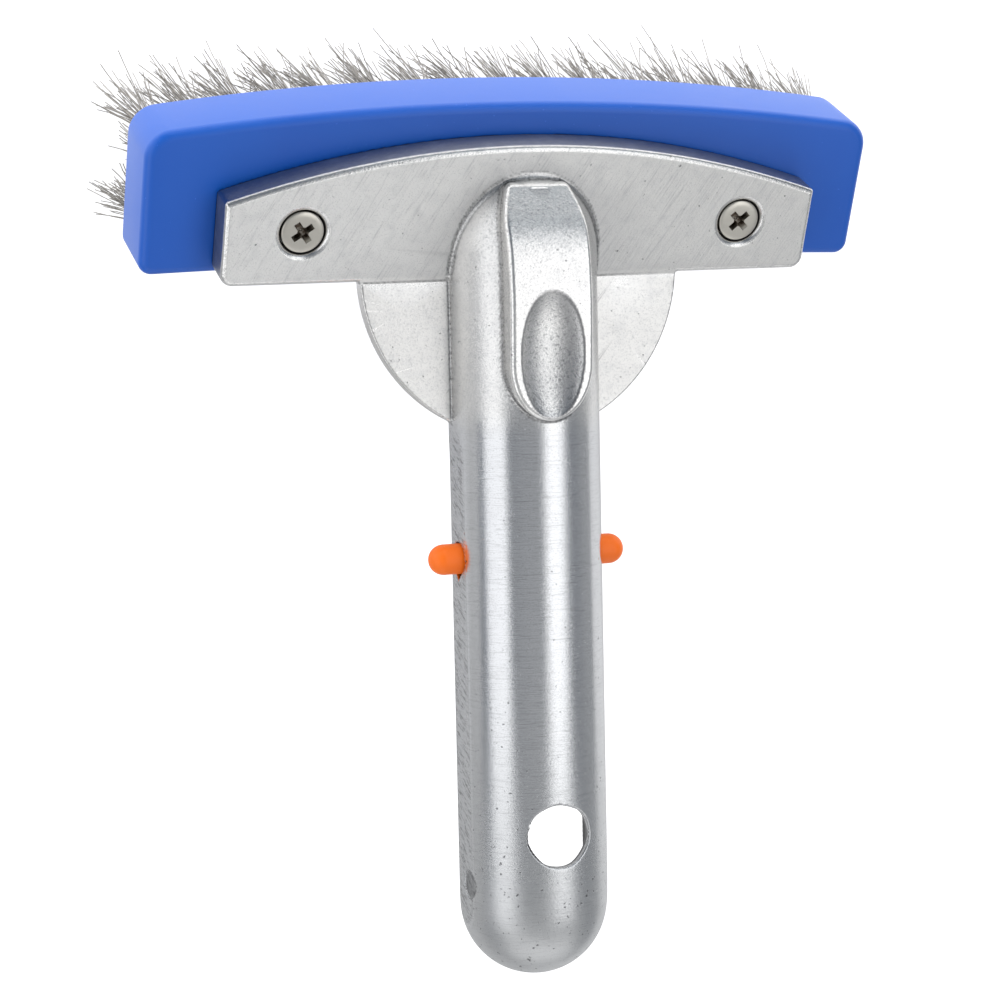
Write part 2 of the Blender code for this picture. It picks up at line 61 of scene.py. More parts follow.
# Places taken from the frame
BLOCK_LOW, BLOCK_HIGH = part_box("brush_block")
EDGE_Y = BLOCK_LOW.y  # the block's near edge, at its ends
BLOCK_TOP_Z = BLOCK_HIGH.z
BRISTLE_LENGTH = BLOCK_LOW.z
BLOCK_LENGTH = BLOCK_HIGH.x - BLOCK_LOW.x

# Block
BLOCK_FAR_RISE = 5.4 * MM
BLOCK_NEAR_RISE = 1.2 * MM
BLOCK_DEPTH = BLOCK_HIGH.y - BLOCK_LOW.y - BLOCK_FAR_RISE
BLOCK_NEAR_CORNER = 2.7 * MM
BLOCK_FAR_CORNER = 4.7 * MM
BLOCK_EDGE_ROUND = 1.8 * MM

# Tufts
TUFT_ROWS = 3
TUFT_COLUMNS = 16
TUFT_INSET = 5.2 * MM
TUFT_HOLE_RADIUS = 2.25 * MM
TUFT_HOLE_DEPTH = 8.0 * MM
TUFT_SPLAY = math.radians(8)
WIRES_PER_TUFT = 58
WIRE_RADIUS = 0.11 * MM
WIRE_SIDES = 3
WIRE_ROOT = 2.5 * MM  # how far a wire reaches into its hole
SHORTEST_WIRE = 0.66  # of the bristles' length
USUAL_WIRE = 0.95
COMBED_LEAN = -2.4 * MM  # of the tips, to the left
COMBED_FROM, COMBED_TO = -72 * MM, -45 * MM  # along the block: the lean sets in from its left end
FLARE, FLARE_SPREAD = 2.9 * MM, 1.3 * MM  # of a tuft's tip
STRAY_SHARE = 0.07
STRAY_SPREAD = 3.0 * MM
BEND_SPREAD = 0.5 * MM
WAVE_SPREAD = 0.08 * MM

# Plate
GAP = 0.3 * MM
PLATE_LENGTH = 118.8 * MM
PLATE_NEAR_Y = EDGE_Y + 0.7 * MM
PLATE_DEPTH = 16.7 * MM
PLATE_FAR_RISE = 10.2 * MM
PLATE_BACK_Z = BLOCK_TOP_Z + GAP
PLATE_FRONT_Z = BLOCK_TOP_Z + 7.3 * MM
PLATE_CORNER = 2.5 * MM
PLATE_FAR_CORNER = 0.5 * MM
PLATE_EDGE_ROUND = 1.1 * MM
PLATE_BACK_ROUND = 0.2 * MM
PLATE_TONES_REACH = 60.0 * MM  # of the change in tone along the plate, to each side

# Screws
SCREW_X = 44.25 * MM
SCREW_Y = EDGE_Y + 11.2 * MM
SCREW_HEAD_RADIUS = 4.12 * MM
SCREW_HEAD_HEIGHT = 2.3 * MM
SCREW_SHANK_RADIUS = 2.1 * MM
SCREW_LENGTH = 10.6 * MM
SCREW_POINT = 2.0 * MM
SCREW_RIM = 0.35 * MM
SCREW_DOME = 0.1 * MM
THREAD_PITCH = 1.4 * MM
THREAD_DEPTH = 0.45 * MM
COUNTERBORE_RADIUS = 4.4 * MM
COUNTERBORE_ROUND = 1.1 * MM
COUNTERBORE_FLOOR_ROUND = 0.2 * MM
SCREW_SEAT_Z = PLATE_FRONT_Z - 3.0 * MM
RECESS_ANGLES = {"left": math.radians(35), "right": math.radians(44)}
RECESS_DEPTH = 1.7 * MM
RECESS_LENGTHS = {"top": 4.9 * MM, "bottom": 2.6 * MM}
RECESS_WIDTHS = {"top": 1.35 * MM, "bottom": 0.8 * MM}
RECESS_ABOVE = 0.3 * MM  # how far the cutter stands out of the head
RECESS_CONE_RADII = (0.3 * MM, 1.35 * MM)
RECESS_CONE_DEPTH = 2.4 * MM

# Handle
TILT = math.radians(22.5)
HANDLE_RADIUS = 14.6 * MM
HANDLE_WALL = 2.0 * MM
AXIS_Z = BLOCK_TOP_Z + 7.2 * MM
HEAD_CENTRE = -5.8 * MM
HEAD_LENGTH = 17.6 * MM  # of the head's domed end, which is longer than it is wide
END_CENTRE = 120.6 * MM
END_BLEND = 4.0 * MM  # over which the round end starts to curve
RIM_DEPTH = 4.1 * MM
SIDE_FLAT = 14.05 * MM
SIDE_FLAT_START = 27.0 * MM
SIDE_FLAT_RUNOUT = 7.0 * MM
CHANNEL_START = 5.0 * MM
HANGING_HOLE_AT = 105.6 * MM
HANGING_HOLE_RADIUS = 6.15 * MM
HANGING_HOLE_SHIFT = 0.55 * MM
# Count, size and phase of the waves in the hole's edge
HANGING_HOLE_WAVES = ((2, 0.16 * MM, 0.6), (3, 0.11 * MM, 2.1), (7, 0.06 * MM, 0.0))
MARK_AT = 116.2 * MM  # the ejector's mark, near the free end
MARK_OUT = 2.3 * MM
MARK_RADIUS = 2.8 * MM
MARK_DEPTH = 0.35 * MM

# Gusset
GUSSET_CENTRE = -2.4 * MM
GUSSET_RADIUS = 32.3 * MM
GUSSET_FRONT = 0.2 * MM
GUSSET_THICKNESS = 3.1 * MM
GUSSET_EMBED = 3.6 * MM

# Thumb rest
REST_HALF_WIDTH = 8.3 * MM
REST_TOP_HALF_WIDTH = 6.0 * MM
REST_TOP_CORNER = 1.0 * MM
REST_TOP = -19.0 * MM
REST_SHOULDER = -9.5 * MM
REST_STRAIGHT_END = 15.0 * MM
REST_END = 25.8 * MM
REST_CREST_START = 17.2 * MM
REST_CREST_END = 15.9 * MM
REST_SHOULDER_HEIGHT = 15.7 * MM
REST_TOP_HEIGHT = 10.2 * MM
REST_COVER = 0.9 * MM  # how deep the head stays under the rest's faces
REST_ROOT = 5.0 * MM
DIMPLE_AT = 13.2 * MM
DIMPLE_HALF_WIDTH = 6.3 * MM
DIMPLE_HALF_LENGTH = 12.3 * MM
DIMPLE_DEPTH = 2.1 * MM
DIMPLE_CUT = 0.5  # of its height: where the rest's face cuts the ellipsoid, below its centre

# Fillets and rounded edges of the casting
HEAD_FILLET = 0.9 * MM
WING_FILLET = 0.5 * MM
REST_FILLET = 0.5 * MM
REST_EDGE = 1.0 * MM
RIM_EDGE = 0.5 * MM
HOLE_EDGE = 0.45 * MM
GUSSET_EDGE = 0.4 * MM
GROUND_EDGE = 0.2 * MM
DIMPLE_EDGE = 0.2 * MM
BUTTON_BORE_EDGE = 0.15 * MM
MARK_EDGE = 0.1 * MM
SOFT_SHOULDER = 1.4 * MM

# Buttons and spring
BUTTON_AT = 52.7 * MM
BUTTON_RADIUS = 2.95 * MM
BUTTON_TIP = 20.0 * MM
BUTTON_BORE_RADIUS = 3.25 * MM
NICK_REACH = 4.3 * MM  # from the bore's axis
FLANGE_RADIUS = 3.7 * MM
FLANGE_THICKNESS = 1.2 * MM
BUTTON_ROUND = 0.25 * MM
SPRING_THICKNESS = 0.7 * MM
SPRING_WIDTH = 6.0 * MM
SPRING_APEX = 16.0 * MM
SPRING_BEND_RADIUS = 4.0 * MM
SPRING_PAD_START = 47.0 * MM
SPRING_PAD_END = 58.0 * MM
SPRING_CORNER = 0.15 * MM

# Stretches along the handle over which its looks set in
HOLLOW_SETS_IN = (4 * MM, 8 * MM)
POLISH_SETS_IN = (23 * MM, 30 * MM)
GRINDING_SETS_IN = (26 * MM, 30 * MM)
DULLNESS_SETS_IN = (60 * MM, 125 * MM)
DOME_SETS_IN = (112 * MM, 128 * MM)

# Remeshing
VOXEL = 0.36 * MM
CASTING_SHARE_KEPT = 0.5  # of the remeshed casting's triangles
SLOPE_STEP = 0.01 * MM
CURVATURE_STEP = 0.12 * MM
LONGEST_MOVE = 0.4 * MM  # of a point in one round of settling
LEAST_STEEPNESS = 0.25  # keeps a move short where a field is flat
AXIS_RADIUS = 0.02 * MM  # of a turned shape's ring at its axis

COS_TILT = math.cos(TILT)
SIN_TILT = math.sin(TILT)
END_SHIFT = math.hypot(HANDLE_RADIUS, END_BLEND) - HANDLE_RADIUS  # keeps the blended end as long
HANDLE_FRAME = Matrix.Translation((0, EDGE_Y, AXIS_Z)) @ Matrix.Rotation(-TILT, 4, "X")
RANDOM = np.random.default_rng(7)
SIDES = (("left", -1), ("right", 1))


# --- Fields of the casting's forms


def to_handle(points):
    """Distances across, along (to the free end) and out from the handle's axis."""
    y = points[:, 1] - EDGE_Y
    z = points[:, 2] - AXIS_Z
    return points[:, 0], z * SIN_TILT - y * COS_TILT, y * SIN_TILT + z * COS_TILT


def common(a, b, radius):
    """What two forms have in common, with a rounded edge between them."""
    corner = np.hypot(np.maximum(radius + a, 0), np.maximum(radius + b, 0))
    return np.minimum(-radius, np.maximum(a, b)) + corner


def joined(a, b, radius):
    """Two forms joined by a fillet."""
    return -common(-a, -b, radius)


def softened(a, b, width):
    """What two forms have in common where their faces meet at a shallow angle."""
    near = np.maximum(1 - np.abs(a - b) / width, 0)
    return np.maximum(a, b) + width / 4 * near**2


def bar(across, along, out, start, end, radius):
    """A round-ended bar on the handle's axis."""
    beyond = along - np.clip(along, start, end)
    return np.sqrt(across**2 + out**2 + beyond**2) - radius


def ellipse(x, y, half_x, half_y):
    """Distance from an ellipse, close to it."""
    level = np.hypot(x / half_x, y / half_y) + 1e-9
    steepness = np.hypot(x / half_x**2, y / half_y**2) / level + 1e-9
    return (level - 1) / steepness


def above_line(along, out, start, end):
    """Height over the line between two (along, out) points."""
    run, rise = end[0] - start[0], end[1] - start[1]
    return ((out - start[1]) * run - (along - start[0]) * rise) / math.hypot(run, rise)


def plate_form(points):
    """A flat plate with a bowed far side."""
    x = np.abs(points[:, 0])
    y = points[:, 1] - PLATE_NEAR_Y
    half = PLATE_LENGTH / 2
    slope = 2 * PLATE_FAR_RISE * x / half**2
    far = (y - PLATE_DEPTH - PLATE_FAR_RISE * (1 - (x / half) ** 2)) / np.sqrt(1 + slope**2)
    outline = common(common(x - half, -y, PLATE_CORNER), far, PLATE_FAR_CORNER)
    front = common(outline, points[:, 2] - PLATE_FRONT_Z, PLATE_EDGE_ROUND)
    return common(front, PLATE_BACK_Z - points[:, 2], PLATE_BACK_ROUND)


def from_axis(across, along, out):
    """How far out a point is. The head is drawn out, and the free end starts to curve gradually."""
    before = np.minimum(along - HEAD_CENTRE, 0) * HANDLE_RADIUS / HEAD_LENGTH
    past = along - END_CENTRE - END_SHIFT
    past = (past + np.hypot(past, END_BLEND)) / 2
    return np.sqrt(across**2 + out**2 + before**2 + past**2)


def handle_form(across, along, out):
    """The round bar, cut back under the rest, with its sides ground flat."""
    form = from_axis(across, along, out) - HANDLE_RADIUS
    beside_rest = rest_outline(across, along) + REST_COVER
    top, shoulder = (REST_TOP, REST_TOP_HEIGHT), (REST_SHOULDER, REST_SHOULDER_HEIGHT)
    under_rest = above_line(along, out, top, shoulder)
    form = np.maximum(form, np.minimum(under_rest + REST_COVER, -beside_rest))
    runout = np.maximum(SIDE_FLAT_START + SIDE_FLAT_RUNOUT - along, 0) / SIDE_FLAT_RUNOUT
    flat = np.abs(across) - SIDE_FLAT - (HANDLE_RADIUS - SIDE_FLAT) * runout**2
    return common(common(form, flat, GROUND_EDGE), -RIM_DEPTH - out, RIM_EDGE)


def gusset_form(across, along, out):
    """Half a disc in the plane of the handle's axis."""
    beyond = np.maximum(along - GUSSET_CENTRE, 0)
    disc = np.hypot(across, beyond) - GUSSET_RADIUS
    disc = np.maximum(disc, GUSSET_CENTRE - GUSSET_EMBED - along)
    half = GUSSET_THICKNESS / 2
    return common(disc, np.abs(out - GUSSET_FRONT + half) - half, GUSSET_EDGE)


def rest_outline(across, along):
    """Narrow and curved at the plate, straight along the head, and round at the lower end."""
    narrowing = np.clip((REST_SHOULDER - along) / (REST_SHOULDER - REST_TOP), 0, 2) ** 2
    side = np.abs(across) - REST_HALF_WIDTH + (REST_HALF_WIDTH - REST_TOP_HALF_WIDTH) * narrowing
    beyond = along - REST_STRAIGHT_END
    end = ellipse(across, np.maximum(beyond, 0), REST_HALF_WIDTH, REST_END - REST_STRAIGHT_END)
    return common(np.where(beyond > 0, end, side), REST_TOP - along, REST_TOP_CORNER)


def rest_form(across, along, out):
    """A slope up from the plate, and a long crest."""
    top = (REST_TOP, REST_TOP_HEIGHT)
    shoulder = (REST_SHOULDER, REST_SHOULDER_HEIGHT)
    crest = (0.0, REST_CREST_START)
    end = (REST_END, REST_CREST_END)
    slope = above_line(along, out, top, shoulder)
    rise = above_line(along, out, shoulder, crest)
    cap = softened(slope, rise, SOFT_SHOULDER)
    cap = softened(cap, above_line(along, out, crest, end), SOFT_SHOULDER)
    form = common(rest_outline(across, along), cap, REST_EDGE)
    return np.maximum(form, REST_ROOT - out)


def dimple_form(across, along, out):
    """The part of an ellipsoid that lies below the rest's face."""
    crest = REST_CREST_START + (REST_CREST_END - REST_CREST_START) * DIMPLE_AT / REST_END
    fall = (REST_CREST_START - REST_CREST_END) / REST_END
    spread = 1 / math.sqrt(1 - DIMPLE_CUT**2)
    height = DIMPLE_DEPTH / (1 - DIMPLE_CUT)
    lift = out - crest - height * DIMPLE_CUT + (along - DIMPLE_AT) * fall
    radii = (DIMPLE_HALF_WIDTH * spread, DIMPLE_HALF_LENGTH * spread, height)
    parts = (across, along - DIMPLE_AT, lift)
    level = np.sqrt(sum((part / radius) ** 2 for part, radius in zip(parts, radii))) + 1e-9
    steepness = np.sqrt(sum((part / radius**2) ** 2 for part, radius in zip(parts, radii))) / level
    return (level - 1) / (steepness + 1e-9)


def hanging_hole_form(across, along):
    """A hole cut by hand: not quite round."""
    turn = np.arctan2(along - HANGING_HOLE_AT, across)
    uneven = HANGING_HOLE_SHIFT * np.cos(turn)
    for waves, size, phase in HANGING_HOLE_WAVES:
        uneven += size * np.sin(waves * turn + phase)
    return np.hypot(across, along - HANGING_HOLE_AT) - HANGING_HOLE_RADIUS - uneven


def button_bore_form(across, along, out):
    """The cross bore, with a V-shaped nick below it on the left."""
    past = along - BUTTON_AT
    bore = np.hypot(past, out) - BUTTON_BORE_RADIUS
    nick = (past + np.abs(out) - NICK_REACH) / math.sqrt(2)
    nick = np.maximum(np.maximum(nick, -past), across)
    return np.minimum(bore, nick)


def screw_bore_form(points):
    """Both screw holes with their counterbores."""
    away = np.hypot(np.abs(points[:, 0]) - SCREW_X, points[:, 1] - SCREW_Y)
    floor = SCREW_SEAT_Z - points[:, 2]
    counterbore = common(away - COUNTERBORE_RADIUS, floor, COUNTERBORE_FLOOR_ROUND)
    return np.minimum(counterbore, away - SCREW_SHANK_RADIUS - GAP)


def mark_form(across, along, out):
    """The shallow round mark on the ground left side."""
    circle = np.hypot(along - MARK_AT, out - MARK_OUT) - MARK_RADIUS
    return np.maximum(circle, across + SIDE_FLAT - MARK_DEPTH)


def casting_field(points):
    """Negative inside the casting and positive outside it."""
    across, along, out = to_handle(points)
    body = np.maximum(handle_form(across, along, out), PLATE_BACK_Z - points[:, 2])
    form = joined(plate_form(points), body, HEAD_FILLET)
    form = joined(form, gusset_form(across, along, out), WING_FILLET)
    form = joined(form, rest_form(across, along, out), REST_FILLET)
    inner = HANDLE_RADIUS - HANDLE_WALL
    for hollow, edge in (
        (dimple_form(across, along, out), DIMPLE_EDGE),
        (bar(across, along, out, CHANNEL_START + inner, END_CENTRE, inner), RIM_EDGE),
        (hanging_hole_form(across, along), HOLE_EDGE),
        (button_bore_form(across, along, out), BUTTON_BORE_EDGE),
        (mark_form(across, along, out), MARK_EDGE),
        (screw_bore_form(points), COUNTERBORE_ROUND),
    ):
        form = common(form, -hollow, edge)
    return form


def slope_of(field, points):
    """Gradient of a field."""
    parts = []
    for axis in np.eye(3):
        shift = axis * SLOPE_STEP
        parts.append((field(points + shift) - field(points - shift)) / (2 * SLOPE_STEP))
    return np.stack(parts, axis=1)


def curvature_of(field, points):
    """Positive on convex edges and negative in hollows, per metre."""
    shifts = [side * CURVATURE_STEP * axis for axis in np.eye(3) for side in (-1, 1)]
    around = sum(field(points + shift) for shift in shifts)
    return (around - len(shifts) * field(points)) / CURVATURE_STEP**2


def settled(field, points, rounds):
    """Move points onto a field's surface."""
    for _ in range(rounds):
        slope = slope_of(field, points)
        steepness = np.maximum((slope**2).sum(axis=1), LEAST_STEEPNESS)
        move = slope * (field(points) / steepness)[:, None]
        points = points - np.clip(move, -LONGEST_MOVE, LONGEST_MOVE)
    return points


# --- Mesh helpers


def points_of(mesh):
    """A mesh's vertices, one per row."""
    flat = np.empty(len(mesh.vertices) * 3)
    mesh.vertices.foreach_get("co", flat)
    return flat.reshape(-1, 3)


def set_points(mesh, points):
    mesh.vertices.foreach_set("co", points.astype(np.float32).ravel())
    mesh.update()


def put(name, data):
    """Add an object to the scene."""
    thing = bpy.data.objects.new(name, data)
    bpy.context.scene.collection.objects.link(thing)
    return thing


def show(name, mesh, look, matrix=None):
    """Put a mesh in the scene as an object with a material."""
    thing = put(name, mesh)
    if matrix is not None:
        mesh.transform(matrix)
    mesh.materials.clear()
    mesh.materials.append(look)
    mesh.shade_smooth()
    return thing


def applied(thing):
    """Bake an object's modifiers into its mesh."""
    graph = bpy.context.evaluated_depsgraph_get()
    baked = bpy.data.meshes.new_from_object(thing.evaluated_get(graph))
    thing.modifiers.clear()
    thing.data = baked
    return baked


def grid_mesh(name, rings):
    """A mesh through rings of points: each ring is closed, and the first and last are capped."""
    count = len(rings[0])
    points = [point for ring in rings for point in ring]
    faces = []
    for i in range(len(rings) - 1):
        for j in range(count):
            k = (j + 1) % count
            faces.append((i * count + j, i * count + k, (i + 1) * count + k, (i + 1) * count + j))
    faces.append(tuple(reversed(range(count))))
    faces.append(tuple(range((len(rings) - 1) * count, len(rings) * count)))
    mesh = bpy.data.meshes.new(name)
    mesh.from_pydata(points, [], faces)
    shape = bmesh.new()
    shape.from_mesh(mesh)
    bmesh.ops.recalc_face_normals(shape, faces=shape.faces)
    shape.to_mesh(mesh)
    shape.free()
    return mesh


def round_ring(radius, height, turns):
    """Points around Z."""
    return [(radius * math.cos(t), radius * math.sin(t), height) for t in turns]


def store(mesh, name, values):
    """Keep a number for each vertex, for the material to read."""
    attribute = mesh.attributes.new(name, "FLOAT", "POINT")
    attribute.data.foreach_set("value", np.asarray(values, np.float32))


def arc(centre, radius, start, end, steps):
    """Points on an arc, its angles in degrees from +X."""
    turns = np.radians(np.linspace(start, end, steps + 1))
    return [(centre[0] + radius * math.cos(t), centre[1] + radius * math.sin(t)) for t in turns]


def between(value, start, end):
    """0 before start, 1 after end, smooth between."""
    t = np.clip((value - start) / (end - start), 0, 1)
    return t * t * (3 - 2 * t)


# --- Node helpers


def blank_material(name):
    """A new material, its node tree and its shader."""
    made = bpy.data.materials.new(name)
    made.use_nodes = True
    return made, made.node_tree, made.node_tree.nodes["Principled BSDF"]


def add(tree, kind, settings=None, **inputs):
    """Add a node. Each input is a value to set or a socket to link from, by the socket's name."""
    made = tree.nodes.new(kind)
    for key, value in (settings or {}).items():
        setattr(made, key, value)
    feed(tree, made, **inputs)
    return made


def feed(tree, node, **inputs):
    """Fill a node's inputs by their names."""
    for key, value in inputs.items():
        fill(tree, node.inputs[key.replace("_", " ")], value)


def fill(tree, socket, value):
    """Link a socket to another, or set its value."""
    if isinstance(value, bpy.types.NodeSocket):
        tree.links.new(value, socket)
    else:
        socket.default_value = value


def reckon(tree, operation, a, b=0.0, c=0.0, clamp=False):
    """A Math node's result."""
    made = tree.nodes.new("ShaderNodeMath")
    made.operation = operation
    made.use_clamp = clamp
    for socket, value in zip(made.inputs, (a, b, c)):
        fill(tree, socket, value)
    return made.outputs[0]


def mapped(tree, value, low, high, new_low, new_high):
    """A value's range moved to another, without going past it."""
    made = add(tree, "ShaderNodeMapRange", {"interpolation_type": "SMOOTHSTEP"}, Value=value)
    feed(tree, made, From_Min=low, From_Max=high, To_Min=new_low, To_Max=new_high)
    return made.outputs["Result"]


def product(tree, a, b):
    return reckon(tree, "MULTIPLY", a, b)


def blended(tree, share, a, b):
    """Colour a where share is 0, and b where it is 1."""
    made = tree.nodes.new("ShaderNodeMix")
    made.data_type = "RGBA"
    fill(tree, made.inputs[0], share)
    fill(tree, made.inputs[6], a)
    fill(tree, made.inputs[7], b)
    return made.outputs[2]


def place_in_mm(tree, matrix=None, stretch=(1, 1, 1)):
    """Where the surface is, in millimetres, in the row frame or in another one."""
    coordinates = tree.nodes.new("ShaderNodeTexCoord").outputs["Object"]
    location, rotation, _ = (matrix or Matrix()).decompose()
    turned = add(
        tree, "ShaderNodeMapping", {"vector_type": "TEXTURE"}, Vector=coordinates,
        Location=location, Rotation=rotation.to_euler(), Scale=(MM, MM, MM),
    )
    return add(tree, "ShaderNodeMapping", Vector=turned.outputs[0], Scale=stretch).outputs[0]


def toward(tree, direction, aim):
    """How closely a direction points along another: 1 when they agree."""
    made = add(tree, "ShaderNodeVectorMath", {"operation": "DOT_PRODUCT"})
    fill(tree, made.inputs[0], direction)
    fill(tree, made.inputs[1], Vector(aim))
    return made.outputs["Value"]


def roughen(tree, shader, height, distance):
    """Bump a shader's surface by a height in the given unit of length."""
    bump = add(tree, "ShaderNodeBump", Strength=1.0, Distance=distance, Height=height)
    feed(tree, shader, Normal=bump.outputs[0])


def noise(tree, place, scale, detail=3.0, roughness=0.55, distortion=0.0):
    made = add(
        tree, "ShaderNodeTexNoise", Vector=place, Scale=scale, Detail=detail, Roughness=roughness,
        Distortion=distortion,
    )
    return made.outputs[0]


def mask(tree, name):
    """A number stored with the mesh."""
    return add(tree, "ShaderNodeAttribute", {"attribute_name": name}).outputs["Fac"]


def total(tree, *terms):
    """Sum of (value, weight) terms."""
    result = None
    for value, weight in terms:
        part = product(tree, value, weight)
        result = part if result is None else reckon(tree, "ADD", result, part)
    return result


# --- Materials


REGIONS = (
    "polished", "dulled", "ground", "inside", "plate", "shade", "mark", "coarse", "dimple_painted_shade", "dome",
    "wing", "plate_side", "outline", "crest", "edge", "crease_shade",
)


def metal_patterns(tree, row, dulled):
    """Noise patterns of the casting's surface."""
    strokes = place_in_mm(tree, HANDLE_FRAME, (0.30, 5.0, 0.30))
    belt = place_in_mm(tree, HANDLE_FRAME @ Matrix.Rotation(math.radians(24), 4, "X"), (1.0, 2.6, 0.42))
    sanding = place_in_mm(tree, Matrix.Rotation(math.radians(-28), 4, "Z"), (2.6, 0.10, 1.0))
    spots = noise(tree, row, 1.1, detail=2.0)
    pitted = reckon(tree, "ADD", product(tree, dulled, 0.06), 0.22)
    return {
        "grain": noise(tree, row, 2.0, detail=4.0, roughness=0.7),
        "fine": noise(tree, row, 4.2, detail=2.0, roughness=0.6),
        "clouds": noise(tree, row, 0.35, detail=4.0, roughness=0.6),
        "strokes": noise(tree, strokes, 0.8, detail=4.0, roughness=0.7),
        "grinding": noise(tree, belt, 0.9, detail=3.0, roughness=0.65, distortion=0.3),
        "scratches": noise(tree, sanding, 1.0, detail=4.0, roughness=0.65),
        "pits": mapped(tree, reckon(tree, "SUBTRACT", spots, pitted), 0.0, 0.07, 1.0, 0.0),
    }


def metal_relief(tree, patterns, areas):
    """Height of the casting's surface: each pattern in its area, with its weight."""
    terms = []
    for pattern, area, weight in (
        ("grain", "cast", 1.5),
        ("grain", "coarse", 0.9),
        ("grain", "polished", 0.5),
        ("grain", "dulled", 0.8),
        ("grain", "plate", 1.6),
        ("strokes", "polished", 1.1),
        ("grinding", "ground", 6.0),
        ("scratches", "plate", 2.4),
    ):
        terms.append((product(tree, patterns[pattern], areas[area]), weight))
    return total(tree, *terms, (patterns["pits"], -2.0))


def metal_tones(tree, place, areas):
    """Clean colour of each area, with the plate's sides painted dark as painted shade. The plate is a
    little darker towards the right.
    """
    along_plate = mapped(
        tree, place.outputs["X"], -PLATE_TONES_REACH / MM, PLATE_TONES_REACH / MM, 0.0, 1.0
    )
    sanded = blended(tree, along_plate, (1.0, 0.99, 0.97, 1), (0.83, 0.82, 0.80, 1))
    colour = (0.86, 0.85, 0.835, 1)
    for area, share, tone in (
        ("crest", 1.0, (0.97, 0.955, 0.935, 1)),
        ("polished", 1.0, (0.76, 0.765, 0.78, 1)),
        ("coarse", 0.12, (0.40, 0.41, 0.43, 1)),
        ("plate", 1.0, sanded),
        ("dulled", 1.0, (0.66, 0.665, 0.67, 1)),
        ("wing", 1.0, (0.86, 0.845, 0.82, 1)),
        # Painted shade: the plate's sides are made dark.
        ("plate_side", 1.0, (0.30, 0.305, 0.32, 1)),
    ):
        colour = blended(tree, product(tree, areas[area], share), colour, tone)
    return colour


def metal_stains(tree, colour, patterns, areas):
    """Darken each pattern in its area: not at all at its start value, fully at its end value."""
    for pattern, start, end, area, depth, dark in (
        ("clouds", 0.45, 0.75, "everywhere", 0.25, 0.60),
        ("grain", 0.50, 0.72, "cast", 0.45, 0.42),
        ("fine", 0.52, 0.72, "everywhere", 0.40, 0.40),
        ("grain", 0.50, 0.70, "coarse", 0.55, 0.25),
        ("strokes", 0.50, 0.70, "polished", 0.40, 0.42),
        ("scratches", 0.52, 0.72, "plate", 0.42, 0.48),
        ("grinding", 0.50, 0.36, "ground", 0.75, 0.24),
    ):
        share = product(tree, mapped(tree, patterns[pattern], start, end, 0.0, depth), areas[area])
        colour = blended(tree, share, colour, (dark, dark, dark * 1.02, 1))
    return colour


def metal_painted_shade_and_marks(tree, colour, place, patterns, areas):
    """Painted shade beside the head, on the dimple's side, inside the handle and its bores and in the
    creases, a painted shadow under the plate's edge, and dark marks at the dimple's rim, on the round
    mark and in the pits.
    """
    dotted = mapped(tree, patterns["grain"], 0.35, 0.6, 1.0, 0.45)
    # Painted shadow along the foot of the plate's sides, up to about a millimetre over the block.
    block_top = BLOCK_TOP_Z / MM
    contact_shadow = mapped(tree, place.outputs["Z"], block_top + 0.7, block_top + 1.3, 1.0, 0.0)
    for share, depth, dark in (
        (areas["shade"], 0.34, 0.42),
        # Painted shade on the dimple's right side and top.
        (areas["dimple_painted_shade"], 0.45, 0.32),
        # Painted shade inside the handle and on the walls of the button bores.
        (areas["inside"], 0.90, 0.10),
        # Painted shade in the creases, broken up by the grain.
        (product(tree, areas["crease_shade"], dotted), 0.85, 0.10),
        (product(tree, areas["outline"], dotted), 0.60, 0.12),
        # Painted shadow under the plate's edge.
        (product(tree, areas["plate_side"], contact_shadow), 0.95, 0.02),
        (product(tree, areas["mark"], dotted), 0.75, 0.12),
        (patterns["pits"], 0.75, 0.12),
    ):
        colour = blended(tree, product(tree, share, depth), colour, (dark, dark, dark * 1.04, 1))
    return colour


def metal_roughness(tree, patterns, areas):
    """Roughness of each area, and what the patterns and worn edges add to it."""
    result = total(
        tree,
        (areas["cast"], 0.20),
        (areas["wing"], 0.10),
        (areas["plate_side"], 0.20),
        (areas["polished"], 0.04),
        (areas["dulled"], 0.19),
        (areas["coarse"], -0.01),
        (areas["dome"], 0.06),
        (areas["plate"], 0.33),
        (areas["ground"], 0.20),
        (areas["inside"], 0.15),
        (areas["edge"], -0.14),
        (patterns["clouds"], 0.06),
        (patterns["grain"], 0.06),
    )
    return reckon(tree, "MAXIMUM", result, 0.08)


def aluminium():
    """Cast aluminium: sanded plate, grainy head and wings, brushed handle, ground sides."""
    material, tree, shader = blank_material("cast_aluminium")
    row = place_in_mm(tree)
    place = add(tree, "ShaderNodeSeparateXYZ", Vector=row)
    areas = {name: mask(tree, name) for name in REGIONS}
    unpolished = reckon(tree, "SUBTRACT", 1.0, areas["polished"])
    areas["cast"] = reckon(tree, "SUBTRACT", unpolished, areas["plate"], clamp=True)
    areas["everywhere"] = 1.0
    patterns = metal_patterns(tree, row, areas["dulled"])
    roughen(tree, shader, metal_relief(tree, patterns, areas), 0.035 * MM)
    colour = metal_tones(tree, place, areas)
    colour = metal_stains(tree, colour, patterns, areas)
    colour = metal_painted_shade_and_marks(tree, colour, place, patterns, areas)
    roughness = metal_roughness(tree, patterns, areas)
    feed(tree, shader, Base_Color=colour, Roughness=roughness, Metallic=1.0)
    return material


